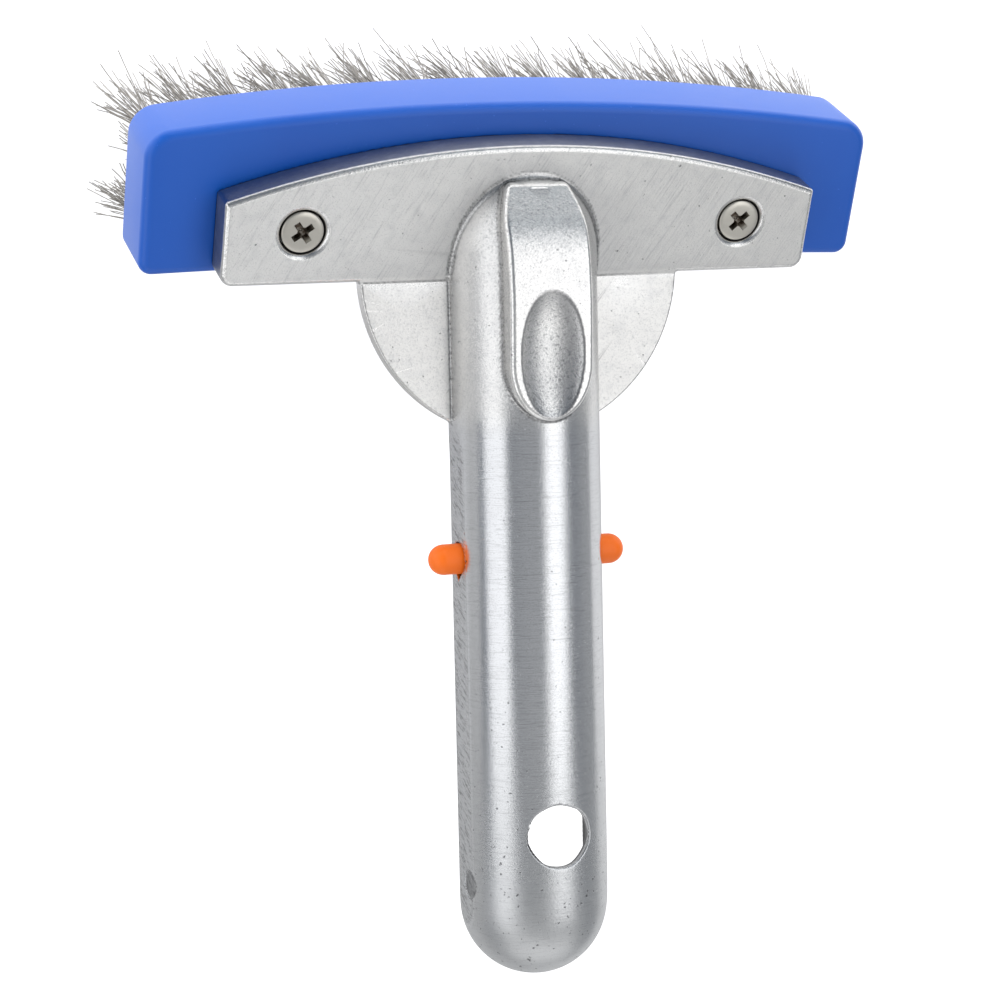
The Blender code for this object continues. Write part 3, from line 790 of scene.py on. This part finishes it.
def plastic(name, colour, shade, roughness, gloss, glow):
    """Moulded plastic: faint flow marks, fine grain and a little dust, and a faint painted glow where
    glow is set.
    """
    material, tree, shader = blank_material(name)
    row = place_in_mm(tree)
    flow = noise(tree, row, 0.05, detail=3.0, distortion=0.6)
    grain = noise(tree, row, 3.0, detail=3.0)
    dust = mapped(tree, noise(tree, row, 1.7, detail=1.0), 0.76, 0.82, 0.0, 0.5)
    dusted = tuple(min(1.0, 1.6 * part + 0.08) for part in colour)
    base = blended(tree, flow, (*colour, 1), (*shade, 1))
    dusty = blended(tree, dust, base, (*dusted, 1))
    rough = total(tree, (flow, 0.10), (grain, 0.06), (1.0, roughness - 0.08))
    feed(tree, shader, Base_Color=dusty, Roughness=rough, Specular_IOR_Level=gloss)
    # Painted light: the plastic glows faintly in its own colour, though it is no lamp.
    feed(tree, shader, Emission_Color=base, Emission_Strength=glow)
    roughen(tree, shader, total(tree, (grain, 0.12), (flow, 6.0), (dust, 0.3)), 0.02 * MM)
    return material


def spring_steel():
    """Bare steel with a fine grain and slight stains."""
    material, tree, shader = blank_material("spring_steel")
    row = place_in_mm(tree)
    stains = noise(tree, row, 0.35, detail=4.0)
    grain = noise(tree, row, 1.5, detail=4.0, roughness=0.6)
    colour = blended(tree, stains, (0.62, 0.61, 0.58, 1), (0.50, 0.49, 0.47, 1))
    rough = total(tree, (stains, 0.12), (grain, 0.08), (1.0, 0.22))
    feed(tree, shader, Base_Color=colour, Roughness=rough, Metallic=1.0)
    roughen(tree, shader, grain, 0.01 * MM)
    return material


def screw_steel():
    """Nickel-plated steel, dark brown in patches deep in the recess."""
    material, tree, shader = blank_material("screw_steel")
    own = place_in_mm(tree)
    height = add(tree, "ShaderNodeSeparateXYZ", Vector=own).outputs["Z"]
    stains = noise(tree, own, 0.6, detail=4.0)
    grain = noise(tree, own, 5.0, detail=3.0)
    patches = mapped(tree, noise(tree, own, 1.6, detail=3.0), 0.3, 0.6, 0.5, 1.0)
    head_top = SCREW_HEAD_HEIGHT / MM
    deep = mapped(tree, height, head_top - 0.25, head_top - 1.1, 0.0, 1.0)
    plating = blended(tree, stains, (0.72, 0.69, 0.62, 1), (0.60, 0.575, 0.52, 1))
    colour = blended(tree, product(tree, deep, patches), plating, (0.10, 0.075, 0.055, 1))
    rough = total(tree, (stains, 0.15), (grain, 0.1), (1.0, 0.2))
    feed(tree, shader, Base_Color=colour, Roughness=rough, Metallic=1.0)
    roughen(tree, shader, grain, 0.008 * MM)
    return material


def wire_steel():
    """Worn stainless wire, each one in its own tone."""
    material, tree, shader = blank_material("bristle_steel")
    stains = noise(tree, place_in_mm(tree), 0.8, detail=3.0)
    mixed = total(tree, (mask(tree, "tone"), 0.7), (stains, 0.4))
    colour = blended(tree, mixed, (0.60, 0.565, 0.52, 1), (0.22, 0.205, 0.185, 1))
    rough = total(tree, (stains, 0.2), (1.0, 0.25))
    feed(tree, shader, Base_Color=colour, Roughness=rough, Metallic=0.6)
    return material


# --- Casting


def make_casting():
    """The casting: the CAD node remeshed, then settled onto the filleted form."""
    rough = put("handle_casting_fine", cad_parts["handle_casting"].data.copy())
    remesh = rough.modifiers.new("even", "REMESH")
    remesh.mode = "VOXEL"
    remesh.voxel_size = VOXEL
    mesh = applied(rough)
    set_points(mesh, settled(casting_field, points_of(mesh), 4))
    thin = rough.modifiers.new("thin", "DECIMATE")
    thin.ratio = CASTING_SHARE_KEPT
    mesh = applied(rough)
    points = settled(casting_field, points_of(mesh), 2)
    set_points(mesh, points)
    bpy.data.objects.remove(rough)
    casting = show("casting", mesh, aluminium())
    normals = slope_of(casting_field, points)
    normals /= np.linalg.norm(normals, axis=1)[:, None]
    mesh.normals_split_custom_set_from_vertices(normals)
    mark_regions(mesh, points, normals)
    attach(casting, "root")
    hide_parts("handle_casting")


def mark_regions(mesh, points, normals):
    """Say where the casting is polished, ground or sanded, where it is worn, where it has dark marks,
    and where painted shade darkens it.
    """
    across, along, out = to_handle(points)
    skin = HANDLE_RADIUS - from_axis(across, along, out)
    outside = 1 - between(skin, 0.8 * MM, 1.2 * MM)
    mark_handle(mesh, normals, across, along, outside)
    circle = np.hypot(along - MARK_AT, out - MARK_OUT) - MARK_RADIUS
    store(mesh, "mark", (1 - between(circle, -0.2 * MM, 0.1 * MM)) * (across < 0) * outside)
    mark_hollows(mesh, across, along, out, outside)
    head = np.minimum(handle_form(across, along, out), rest_form(across, along, out))
    mark_plate(mesh, points, normals, head)
    mark_rest(mesh, across, along, out)
    curvature = curvature_of(casting_field, points) * MM
    store(mesh, "edge", between(curvature, 0.35, 0.95))
    # Painted shade in the creases, where the forms meet.
    store(mesh, "crease_shade", between(-curvature, 0.3, 1.0))


def mark_handle(mesh, normals, across, along, outside):
    """The handle: polished, ground at its sides, duller towards its domed end. Beside it, the wings."""
    store(mesh, "polished", between(along, *POLISH_SETS_IN) * outside)
    store(mesh, "dulled", between(along, *DULLNESS_SETS_IN) * outside)
    store(mesh, "dome", between(along, *DOME_SETS_IN) * outside)
    flat = between(np.abs(normals[:, 0]), 0.985, 0.998)
    store(mesh, "ground", flat * between(along, *GRINDING_SETS_IN) * outside)
    beside = between(np.abs(across) - HANDLE_RADIUS, 0.3 * MM, 0.5 * MM)
    store(mesh, "wing", (along > 0) * beside)


def mark_hollows(mesh, across, along, out, outside):
    """The inside of the handle and the walls of the button bores, which painted shade darkens."""
    channel = between(along, *HOLLOW_SETS_IN) * (1 - outside) * (out < HANDLE_RADIUS - 1.1 * MM)
    around_bore = np.hypot(along - BUTTON_AT, out) < NICK_REACH + 0.2 * MM
    in_wall = between(SIDE_FLAT - np.abs(across), 0.1 * MM, 0.4 * MM) * (np.abs(across) > 8 * MM)
    store(mesh, "inside", np.maximum(channel, in_wall * around_bore))


def mark_plate(mesh, points, normals, head):
    """The plate's sanded front, painted shade beside the head, and its sides, which are painted dark as
    shade.
    """
    up, z = normals[:, 2], points[:, 2]
    front = between(z, PLATE_FRONT_Z - 0.4 * MM, PLATE_FRONT_Z - 0.05 * MM)
    level = between(up, 0.93, 0.985) * (z < PLATE_FRONT_Z + 0.3 * MM)
    store(mesh, "plate", front * level)
    store(mesh, "shade", level * (1 - between(head, 0.2 * MM, 3.2 * MM)))
    # Painted shade: the plate's upright sides, away from the head.
    upright = (1 - between(up, 0.2, 0.6)) * (z > BLOCK_TOP_Z - 0.1 * MM) * (z < PLATE_FRONT_Z)
    surface = 1 - between(plate_form(points), 0.2 * MM, 0.5 * MM)
    store(mesh, "plate_side", upright * surface * (head > 1.5 * MM))


def mark_rest(mesh, across, along, out):
    """The rest's bright crest, its coarse slope and dimple, the dimple's outline, and painted shade on
    the dimple's right side and top.
    """
    dimple = dimple_form(across, along, out)
    slope = between(along, REST_TOP + 2 * MM, REST_TOP + 3 * MM) * (out > 9 * MM)
    slope *= 1 - between(along, REST_SHOULDER + 0.5 * MM, REST_SHOULDER + 5.5 * MM)
    hollow = (1 - between(dimple, 0.1 * MM, 0.3 * MM)) * (along > 0)
    store(mesh, "coarse", np.maximum(0.6 * slope, hollow))
    # Painted shade: the dimple's right side, and more faintly its upper end, are darkened.
    shaded_side = between(across, 0.5 * MM, 4.5 * MM) + 0.5 * (1 - between(along, 3 * MM, 9 * MM))
    store(mesh, "dimple_painted_shade", hollow * np.minimum(shaded_side, 1))
    rim = np.hypot(dimple, rest_form(across, along, out))
    store(mesh, "outline", (1 - between(rim, 0.10 * MM, 0.26 * MM)) * (along > 0))
    crest = between(out, 14.7 * MM, 15.1 * MM) + (along < REST_SHOULDER) * (out > REST_TOP_HEIGHT)
    crest = np.minimum(crest, 1.0) * (along > REST_TOP)
    store(mesh, "crest", crest * (np.abs(across) < REST_HALF_WIDTH))


# --- Block


def bowed(x, y):
    """A place on a straight block moved to the bowed one."""
    rise = BLOCK_NEAR_RISE + (BLOCK_FAR_RISE - BLOCK_NEAR_RISE) * y / BLOCK_DEPTH
    return x, y + rise * (1 - (2 * x / BLOCK_LENGTH) ** 2)


def block_outline(steps=60):
    half = BLOCK_LENGTH / 2
    near, far = BLOCK_NEAR_CORNER, BLOCK_FAR_CORNER
    points = arc((half - near, near), near, -90, 0, 8)
    points += arc((half - far, BLOCK_DEPTH - far), far, 0, 90, 12)
    points += [(x, BLOCK_DEPTH) for x in np.linspace(half - far, far - half, steps + 1)[1:-1]]
    points += arc((far - half, BLOCK_DEPTH - far), far, 90, 180, 12)
    points += arc((near - half, near), near, 180, 270, 8)
    points += [(x, 0.0) for x in np.linspace(near - half, half - near, steps + 1)[1:-1]]
    return [bowed(x, y) for x, y in points]


def tuft_places():
    """Place on the block and lean of each tuft, row by row."""
    half_run = BLOCK_LENGTH / 2 - TUFT_INSET
    pitch = 2 * half_run / (TUFT_COLUMNS - 1)
    reach = BRISTLE_LENGTH * math.tan(TUFT_SPLAY)
    for row in range(TUFT_ROWS):
        across = 2 * row / (TUFT_ROWS - 1) - 1
        count = TUFT_COLUMNS - (row % 2)
        for column in range(count):
            x = (column - (count - 1) / 2) * pitch
            y = BLOCK_DEPTH / 2 + across * (BLOCK_DEPTH / 2 - TUFT_INSET)
            x, y = bowed(x, y)
            yield row, column, (x, EDGE_Y + y), (reach * x / half_run, 0.5 * reach * across)


def cylinder(shape, centre, radius, low, high, segments):
    made = bmesh.ops.create_cone(
        shape, cap_ends=True, segments=segments, radius1=radius, radius2=radius, depth=high - low
    )
    bmesh.ops.translate(shape, verts=made["verts"], vec=(*centre, (low + high) / 2))


def cut(thing, shape, look, crossing=False):
    """Cut a shape, which may cross itself, out of an object."""
    mesh = bpy.data.meshes.new("cutter")
    shape.to_mesh(mesh)
    shape.free()
    cutter = put("cutter", mesh)
    modifier = thing.modifiers.new("cut", "BOOLEAN")
    modifier.operation = "DIFFERENCE"
    modifier.solver = "EXACT"
    modifier.use_self = crossing
    modifier.object = cutter
    applied(thing)
    bpy.data.objects.remove(cutter)
    thing.data.materials.clear()
    thing.data.materials.append(look)


def block_rings():
    """Outlines of the block from its underside up, drawn in at its rounded edges."""
    outline = [(x, EDGE_Y + y) for x, y in block_outline()]
    normals = outline_normals(outline)
    levels = []
    for turn in np.radians(np.linspace(-90, 0, 7)):
        inset = BLOCK_EDGE_ROUND * (1 - math.cos(turn))
        levels.append((inset, BRISTLE_LENGTH + BLOCK_EDGE_ROUND * (1 + math.sin(turn))))
    for turn in np.radians(np.linspace(0, 90, 7)):
        inset = BLOCK_EDGE_ROUND * (1 - math.cos(turn))
        levels.append((inset, BLOCK_TOP_Z - BLOCK_EDGE_ROUND * (1 - math.sin(turn))))
    rings = []
    for inset, z in levels:
        places = zip(outline, normals)
        rings.append([(x - inset * nx, y - inset * ny, z) for (x, y), (nx, ny) in places])
    return rings


def block_holes():
    """Holes for the tufts and the screws."""
    holes = bmesh.new()
    low, high = BRISTLE_LENGTH - MM, BRISTLE_LENGTH + TUFT_HOLE_DEPTH
    for _, _, place, _ in tuft_places():
        cylinder(holes, place, TUFT_HOLE_RADIUS, low, high, 20)
    low, high = SCREW_SEAT_Z - SCREW_LENGTH, BLOCK_TOP_Z + MM
    for x in (-SCREW_X, SCREW_X):
        cylinder(holes, (x, SCREW_Y), SCREW_SHANK_RADIUS + GAP, low, high, 32)
    return holes


def make_block():
    """The block with its holes."""
    look = plastic("blue_plastic", (0.004, 0.11, 0.60), (0.008, 0.13, 0.64), 0.38, gloss=0.6, glow=0.0)
    block = show("block", grid_mesh("block", block_rings()), look)
    cut(block, block_holes(), look)
    block.data.set_sharp_from_angle(angle=math.radians(40))
    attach(block, "root")
    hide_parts("brush_block")


def outline_normals(outline):
    """Unit normals pointing out of a closed outline that runs anticlockwise."""
    points = np.array(outline)
    run = np.roll(points, -1, axis=0) - np.roll(points, 1, axis=0)
    run /= np.linalg.norm(run, axis=1)[:, None]
    return [(y, -x) for x, y in run]


# --- Turned parts


def turned(name, profile, steps):
    """A shape turned about Z, from (radius, height) points that run top to bottom."""
    turns = np.linspace(0, 2 * math.pi, steps, endpoint=False)
    rings = [round_ring(max(radius, AXIS_RADIUS), height, turns) for radius, height in profile]
    return grid_mesh(name, rings)


def screw_mesh(name):
    """Head and threaded shank."""
    radius, top = SCREW_HEAD_RADIUS, SCREW_HEAD_HEIGHT
    profile = [(share * radius, top - SCREW_DOME * share**4) for share in np.linspace(0, 0.86, 8)]
    rim_centre = (radius - SCREW_RIM, top - 1.2 * SCREW_DOME - SCREW_RIM)
    profile += arc(rim_centre, SCREW_RIM, 80, 0, 6) + [(radius, 0.0)]
    turns = np.linspace(0, 2 * math.pi, 48, endpoint=False)
    rings = [round_ring(max(radius, AXIS_RADIUS), height, turns) for radius, height in profile]
    for down in np.linspace(0, 1, 90):
        rings.append(thread_ring(-down * SCREW_LENGTH, turns))
    return grid_mesh(name, rings)


def thread_ring(height, turns):
    """Points around the threaded shank, which tapers to a point."""
    taper = min(1.0, (SCREW_LENGTH + height) / SCREW_POINT + 0.04)
    ring = []
    for t in turns:
        phase = (height / THREAD_PITCH - t / (2 * math.pi)) % 1.0
        ridge = max(0.0, 1 - abs(phase - 0.5) * 4)
        radius = taper * (SCREW_SHANK_RADIUS - THREAD_DEPTH * (1 - ridge))
        ring.append((radius * math.cos(t), radius * math.sin(t), height))
    return ring


def recess():
    """A cross that narrows towards its bottom, with a cone in its middle."""
    shape = bmesh.new()
    levels = {"top": SCREW_HEAD_HEIGHT + RECESS_ABOVE, "bottom": SCREW_HEAD_HEIGHT - RECESS_DEPTH}
    for angle in (0, 90):
        arms = bmesh.ops.create_cube(shape, size=1.0)["verts"]
        for vertex in arms:
            level = "top" if vertex.co.z > 0 else "bottom"
            vertex.co.x *= RECESS_LENGTHS[level]
            vertex.co.y *= RECESS_WIDTHS[level]
            vertex.co.z = levels[level]
        bmesh.ops.rotate(shape, verts=arms, matrix=Matrix.Rotation(math.radians(angle), 3, "Z"))
    cone = bmesh.ops.create_cone(
        shape, cap_ends=True, segments=16, radius1=RECESS_CONE_RADII[0], radius2=RECESS_CONE_RADII[1],
        depth=RECESS_CONE_DEPTH,
    )
    middle = (levels["top"] + levels["bottom"]) / 2
    bmesh.ops.translate(shape, verts=cone["verts"], vec=(0, 0, middle))
    return shape


def make_screws():
    """Both screws, each with its recess turned its own way."""
    look = screw_steel()
    for side, sign in SIDES:
        screw = show(f"screw_{side}_fine", screw_mesh(f"screw_{side}_fine"), look)
        cut(screw, recess(), look, crossing=True)
        screw.data.set_sharp_from_angle(angle=math.radians(35))
        place = Matrix.Translation((sign * SCREW_X, SCREW_Y, SCREW_SEAT_Z + GAP))
        screw.matrix_world = place @ Matrix.Rotation(RECESS_ANGLES[side], 4, "Z")
        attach(screw, "root")
        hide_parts(f"screw_{side}")


def flange_face():
    """How far out the flange's outer face is: a gap short of where its rim touches the channel."""
    inner = HANDLE_RADIUS - HANDLE_WALL
    return math.sqrt(inner**2 - FLANGE_RADIUS**2) - GAP


def button_profile():
    """A round tip, a plain shank and a flange, from the tip inwards."""
    outer = flange_face()
    inner = outer - FLANGE_THICKNESS
    profile = arc((0, BUTTON_TIP - BUTTON_RADIUS), BUTTON_RADIUS, 90, 0, 16)
    profile += [(BUTTON_RADIUS, outer + 4 * BUTTON_ROUND), (BUTTON_RADIUS, outer + BUTTON_ROUND)]
    profile += arc((BUTTON_RADIUS + BUTTON_ROUND, outer + BUTTON_ROUND), BUTTON_ROUND, 180, 270, 4)
    profile += arc((FLANGE_RADIUS - BUTTON_ROUND, outer - BUTTON_ROUND), BUTTON_ROUND, 90, 0, 4)
    profile += arc((FLANGE_RADIUS - BUTTON_ROUND, inner + BUTTON_ROUND), BUTTON_ROUND, 0, -90, 4)
    return profile + [(0, inner)]


def make_buttons():
    """Both buttons, on one axis across the handle."""
    # The orange plastic has a painted glow, so the buttons shine a little by themselves.
    look = plastic("orange_plastic", (1.0, 0.16, 0.004), (1.0, 0.19, 0.01), 0.42, gloss=0.5, glow=0.15)
    place = HANDLE_FRAME @ Matrix.Translation((0, -BUTTON_AT, 0))
    for side, sign in SIDES:
        mesh = turned(f"button_{side}_fine", button_profile(), 48)
        turn = Matrix.Rotation(sign * math.pi / 2, 4, "Y")
        button = show(f"button_{side}_fine", mesh, look, place @ turn)
        button.data.set_sharp_from_angle(angle=math.radians(50))
        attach(button, f"button_{side}")
        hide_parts(f"button_{side}")


# --- Spring


def spring_path():
    """Middle line of the spring's right half, from its apex to its end."""
    pad_x = flange_face() - FLANGE_THICKNESS - GAP - SPRING_THICKNESS / 2
    bend_at = SPRING_APEX + SPRING_BEND_RADIUS
    run = SPRING_PAD_START - bend_at
    spread = math.degrees(math.atan2(pad_x, run))
    tangent = math.degrees(math.acos(SPRING_BEND_RADIUS / math.hypot(pad_x, run)))
    swing = 180 - spread - tangent
    bend = arc((0, -bend_at), SPRING_BEND_RADIUS, 90, 90 - swing, 16)
    start, end = bend[-1], (pad_x, -SPRING_PAD_START)
    arm = [
        (start[0] + (end[0] - start[0]) * t, start[1] + (end[1] - start[1]) * t)
        for t in np.linspace(0, 1, 13)[1:-1]
    ]
    pad = [(pad_x, y) for y in np.linspace(-SPRING_PAD_START, -SPRING_PAD_END, 6)]
    return bend + arm + pad


def strip_rings(path, width, thickness, corner):
    """Cross sections of a leaf with rounded corners along a path in the XY plane."""
    points = np.array(path)
    run = np.gradient(points, axis=0)
    run /= np.linalg.norm(run, axis=1)[:, None]
    section = []
    for (cx, cz), start in (((1, 1), 0), ((-1, 1), 90), ((-1, -1), 180), ((1, -1), 270)):
        centre = (cx * (thickness / 2 - corner), cz * (width / 2 - corner))
        section += arc(centre, corner, start, start + 90, 3)
    rings = []
    for (x, y), (tx, ty) in zip(points, run):
        rings.append([(x + ty * a, y - tx * a, z) for a, z in section])
    return rings


def make_spring():
    """The V spring as two halves, each a leaf bent at its apex and running to its button."""
    look = spring_steel()
    rings = strip_rings(spring_path(), SPRING_WIDTH, SPRING_THICKNESS, SPRING_CORNER)
    for side, sign in SIDES:
        mirrored = [[(sign * x, y, z) for x, y, z in ring] for ring in rings]
        half = show(f"spring_{side}", grid_mesh(f"spring_{side}", mirrored), look, HANDLE_FRAME)
        half.data.set_sharp_from_angle(angle=math.radians(40))
        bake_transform(half)
        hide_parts("v_spring")


# --- Bristles


def wire_points(place, lean):
    """Points of one wire, from inside its hole to its tip."""
    turn = RANDOM.uniform(0, 2 * math.pi)
    away = math.sqrt(RANDOM.uniform(0, 1))
    root = np.array([math.cos(turn), math.sin(turn)]) * away
    combed = COMBED_LEAN * between(place[0], COMBED_FROM, COMBED_TO)
    tip = root * RANDOM.normal(FLARE, FLARE_SPREAD) + np.array(lean) + np.array([combed, 0])
    tip += RANDOM.normal(0, FLARE_SPREAD, 2)
    if RANDOM.uniform() < STRAY_SHARE:
        tip += RANDOM.normal(0, STRAY_SPREAD, 2)
    length = BRISTLE_LENGTH * RANDOM.triangular(SHORTEST_WIRE, USUAL_WIRE, 1.0)
    bend = RANDOM.normal(0, BEND_SPREAD, 2)
    wave = RANDOM.normal(0, WAVE_SPREAD, 2)
    phase = RANDOM.uniform(0, 2 * math.pi)
    start = np.array(place) + root * (TUFT_HOLE_RADIUS - 0.4 * MM)
    points = [(start[0], start[1], BRISTLE_LENGTH + WIRE_ROOT)]
    for t in np.linspace(0, 1, 8):
        shift = tip * t**1.25 + bend * math.sin(math.pi * t) + wave * math.sin(phase + 9 * t) * t
        points.append((start[0] + shift[0], start[1] + shift[1], BRISTLE_LENGTH - length * t))
    return points


def make_bristles():
    """One piece of thin wires for each row of tufts."""
    look = wire_steel()
    rows = {}
    for row, column, place, lean in tuft_places():
        wires, nodes = rows.setdefault(row, ([], []))
        wires.extend(wire_points(place, lean) for _ in range(WIRES_PER_TUFT))
        nodes.append(f"tuft_r{row + 1}_c{column + 1:02d}")
    for row, (wires, nodes) in rows.items():
        name = f"bristles_row_{row + 1}"
        bristles = show(name, wire_mesh(name, wires), look)
        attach(bristles, "root")
        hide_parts(*nodes)


def wire_mesh(name, wires):
    """Thin three-sided tubes, all in one mesh, with a tone for each."""
    points, faces, tones = [], [], []
    for wire in wires:
        first = len(points)
        twist = RANDOM.uniform(0, 2 * math.pi)
        tone = RANDOM.uniform()
        for x, y, z in wire:
            for side in range(WIRE_SIDES):
                turn = twist + 2 * math.pi * side / WIRE_SIDES
                points.append((x + WIRE_RADIUS * math.cos(turn), y + WIRE_RADIUS * math.sin(turn), z))
                tones.append(tone)
        last = len(points) - WIRE_SIDES
        for a in range(first, last, WIRE_SIDES):
            b = a + WIRE_SIDES
            for j in range(WIRE_SIDES):
                k = (j + 1) % WIRE_SIDES
                faces.append((a + j, b + j, b + k, a + k))
        faces.append(tuple(range(first, first + WIRE_SIDES)))
        faces.append(tuple(reversed(range(last, last + WIRE_SIDES))))
    mesh = bpy.data.meshes.new(name)
    mesh.from_pydata(points, [], faces)
    store(mesh, "tone", tones)
    return mesh


# --- Studio


CAMERA_LEFT = math.radians(22.49)
CAMERA_OVER = math.radians(27.51)
CAMERA_ROLL = math.radians(7.24)
CAMERA_FROM_EDGE = (-188.6 * MM, 211.0 * MM, 466.4 * MM)  # from the block's near top edge
CAMERA_LENS = 100.86  # mm, on a sensor 36 mm wide
CAMERA_SENSOR = 36.0
CAMERA_CLIP = 10 * MM

LIGHT_DISTANCE = 0.9
LIT_AT = -40 * MM  # along the handle's own Y
# Turn and lean in degrees, width and length in metres, watts, and whether metal mirrors it
LIGHTS = {
    "overhead": (25.5, -3, 0.52, 1.2, 2.0, True),
    "left": (-66.5, 0, 0.58, 1.5, 2.55, True),
    "near": (0, 78, 1.2, 0.7, 1.1, True),
    "far": (-5, -58, 0.8, 0.3, 2.6, False),
    "side": (-90, 0, 0.3, 0.8, 1.3, False),
}

SKY_AXIS = (0.0, -0.6, 0.8)  # towards its brightest part
SKY_LOW = (0.14, 0.16, 0.19, 1)
SKY_HIGH = (0.46, 0.47, 0.48, 1)
SKY_RIGHT = (0.42, 0.43, 0.44, 1)
PATCH_AXIS = (0.34, 0.91, 0.23)  # beyond the block, mirrored by the rest's slope
PATCH = (0.36, 0.40, 0.44, 1)
BACKDROP = (0.9, 0.9, 0.9, 1)  # what the camera sees

FLOOR_HALF = 2.0
FLOOR_PALE = (0.6, 0.6, 0.6, 1)
FLOOR_LEFT = (0.4, 0.4, 0.4, 1)
FLOOR_SEEN_GLOW = 0.9  # so that it is as pale as the backdrop


def make_camera():
    """From the left and above, over the block's far side, with a slight roll."""
    back = Vector((
        -math.sin(CAMERA_LEFT) * math.cos(CAMERA_OVER),
        math.sin(CAMERA_OVER),
        math.cos(CAMERA_LEFT) * math.cos(CAMERA_OVER),
    ))
    level = Vector((math.cos(CAMERA_LEFT), 0, math.sin(CAMERA_LEFT)))
    upright = back.cross(level)
    right = math.cos(CAMERA_ROLL) * level + math.sin(CAMERA_ROLL) * upright
    up = math.cos(CAMERA_ROLL) * upright - math.sin(CAMERA_ROLL) * level
    place = Vector((0, EDGE_Y, BLOCK_TOP_Z)) + Vector(CAMERA_FROM_EDGE)
    camera = put("camera", bpy.data.cameras.new("camera"))
    camera.matrix_world = Matrix.Translation(place) @ Matrix((right, up, back)).transposed().to_4x4()
    camera.data.sensor_width = CAMERA_SENSOR
    camera.data.lens = CAMERA_LENS
    camera.data.clip_start = CAMERA_CLIP
    bpy.context.scene.camera = camera


def soft_box(name, centre, facing, width, length, power, mirrored):
    """A soft light. An unmirrored one lights dull surfaces only, and metal doesn't reflect it."""
    light = bpy.data.lights.new(name, "AREA")
    light.shape = "RECTANGLE"
    light.size, light.size_y = width, length
    light.energy = power
    lamp = put(name, light)
    lamp.matrix_world = Matrix.Translation(centre) @ facing.to_4x4()
    lamp.visible_camera = False
    lamp.visible_glossy = mirrored


def handle_direction(turn, lean):
    """A direction about the handle: turn is from straight out towards +X, lean towards the free end."""
    turn, lean = math.radians(turn), math.radians(lean)
    local = Vector((math.sin(turn) * math.cos(lean), -math.sin(lean), math.cos(turn) * math.cos(lean)))
    return HANDLE_FRAME.to_3x3() @ local


def make_lights():
    """Soft boxes overhead, at the left and at the near side, and fill that the metal doesn't mirror."""
    middle = HANDLE_FRAME @ Vector((0, LIT_AT, 0))
    along = HANDLE_FRAME.to_3x3() @ Vector((0, -1, 0))
    for name, (turn, lean, width, length, power, mirrored) in LIGHTS.items():
        back = handle_direction(turn, lean)
        across = along.cross(back).normalized()
        facing = Matrix((across, back.cross(across), back)).transposed()
        soft_box(name, middle + back * LIGHT_DISTANCE, facing, width, length, power, mirrored)


def make_world():
    """Bright overhead and towards the handle's free end, dim beyond the block but for a patch."""
    world = bpy.data.worlds.new("studio")
    bpy.context.scene.world = world
    world.use_nodes = True
    tree = world.node_tree
    direction = tree.nodes.new("ShaderNodeTexCoord").outputs["Generated"]
    height = reckon(tree, "MULTIPLY_ADD", toward(tree, direction, SKY_AXIS), 0.8, 0.4, clamp=True)
    sky = blended(tree, reckon(tree, "POWER", height, 2.5), SKY_LOW, SKY_HIGH)
    right = mapped(tree, toward(tree, direction, (1, 0, 0)), 0.85, 1.0, 0.0, 0.8)
    sky = blended(tree, right, sky, SKY_RIGHT)
    patch = mapped(tree, toward(tree, direction, PATCH_AXIS), 0.88, 0.96, 0.0, 1.0)
    sky = blended(tree, patch, sky, PATCH)
    seen = tree.nodes.new("ShaderNodeLightPath").outputs["Is Camera Ray"]
    feed(tree, tree.nodes["Background"], Color=blended(tree, seen, sky, BACKDROP))


def band(tree, distance, middle, inner, outer, bright, dim):
    """Bright within the inner distance of a line in the floor, and dim beyond the outer one."""
    away = reckon(tree, "ABSOLUTE", reckon(tree, "SUBTRACT", distance, middle))
    return mapped(tree, away, inner, outer, bright, dim)


def floor_glow(tree, x, y):
    """The floor's light in reflections: strongest beyond the block, then at its left and right."""
    left = product(
        tree, band(tree, x, -100.0, 20.0, 110.0, 1.0, 0.0), mapped(tree, y, 0.0, 30.0, 0.2, 0.6)
    )
    right = mapped(tree, x, -20.0, 150.0, 0.0, 0.42)
    far = band(tree, y, 150.0, 40.0, 150.0, 1.3, 0.2)
    near = mapped(tree, y, -60.0, -180.0, 0.0, 0.1)
    glow = left
    for other in (right, far, near):
        glow = reckon(tree, "MAXIMUM", glow, other)
    return glow


def make_floor():
    """A plain pale floor that glows unevenly in reflections."""
    signs = ((-1, -1), (1, -1), (1, 1), (-1, 1))
    corners = [(x * FLOOR_HALF, y * FLOOR_HALF, 0) for x, y in signs]
    mesh = bpy.data.meshes.new("floor")
    mesh.from_pydata(corners, [], [(0, 1, 2, 3)])
    material, tree, shader = blank_material("floor")
    place = add(tree, "ShaderNodeSeparateXYZ", Vector=place_in_mm(tree))
    x, y = place.outputs["X"], place.outputs["Y"]
    shade = mapped(tree, x, -120.0, -180.0, 0.0, 1.0)
    feed(tree, shader, Base_Color=blended(tree, shade, FLOOR_PALE, FLOOR_LEFT), Roughness=0.8)
    seen = tree.nodes.new("ShaderNodeLightPath").outputs["Is Camera Ray"]
    glow = reckon(tree, "MAXIMUM", floor_glow(tree, x, y), product(tree, seen, FLOOR_SEEN_GLOW))
    feed(tree, shader, Emission_Color=(1, 1, 1, 1), Emission_Strength=glow)
    show("floor", mesh, material)


bpy.context.scene.view_settings.view_transform = "Standard"
make_camera()
make_world()
make_lights()
make_floor()
make_casting()
make_block()
make_screws()
make_buttons()
make_spring()
make_bristles()
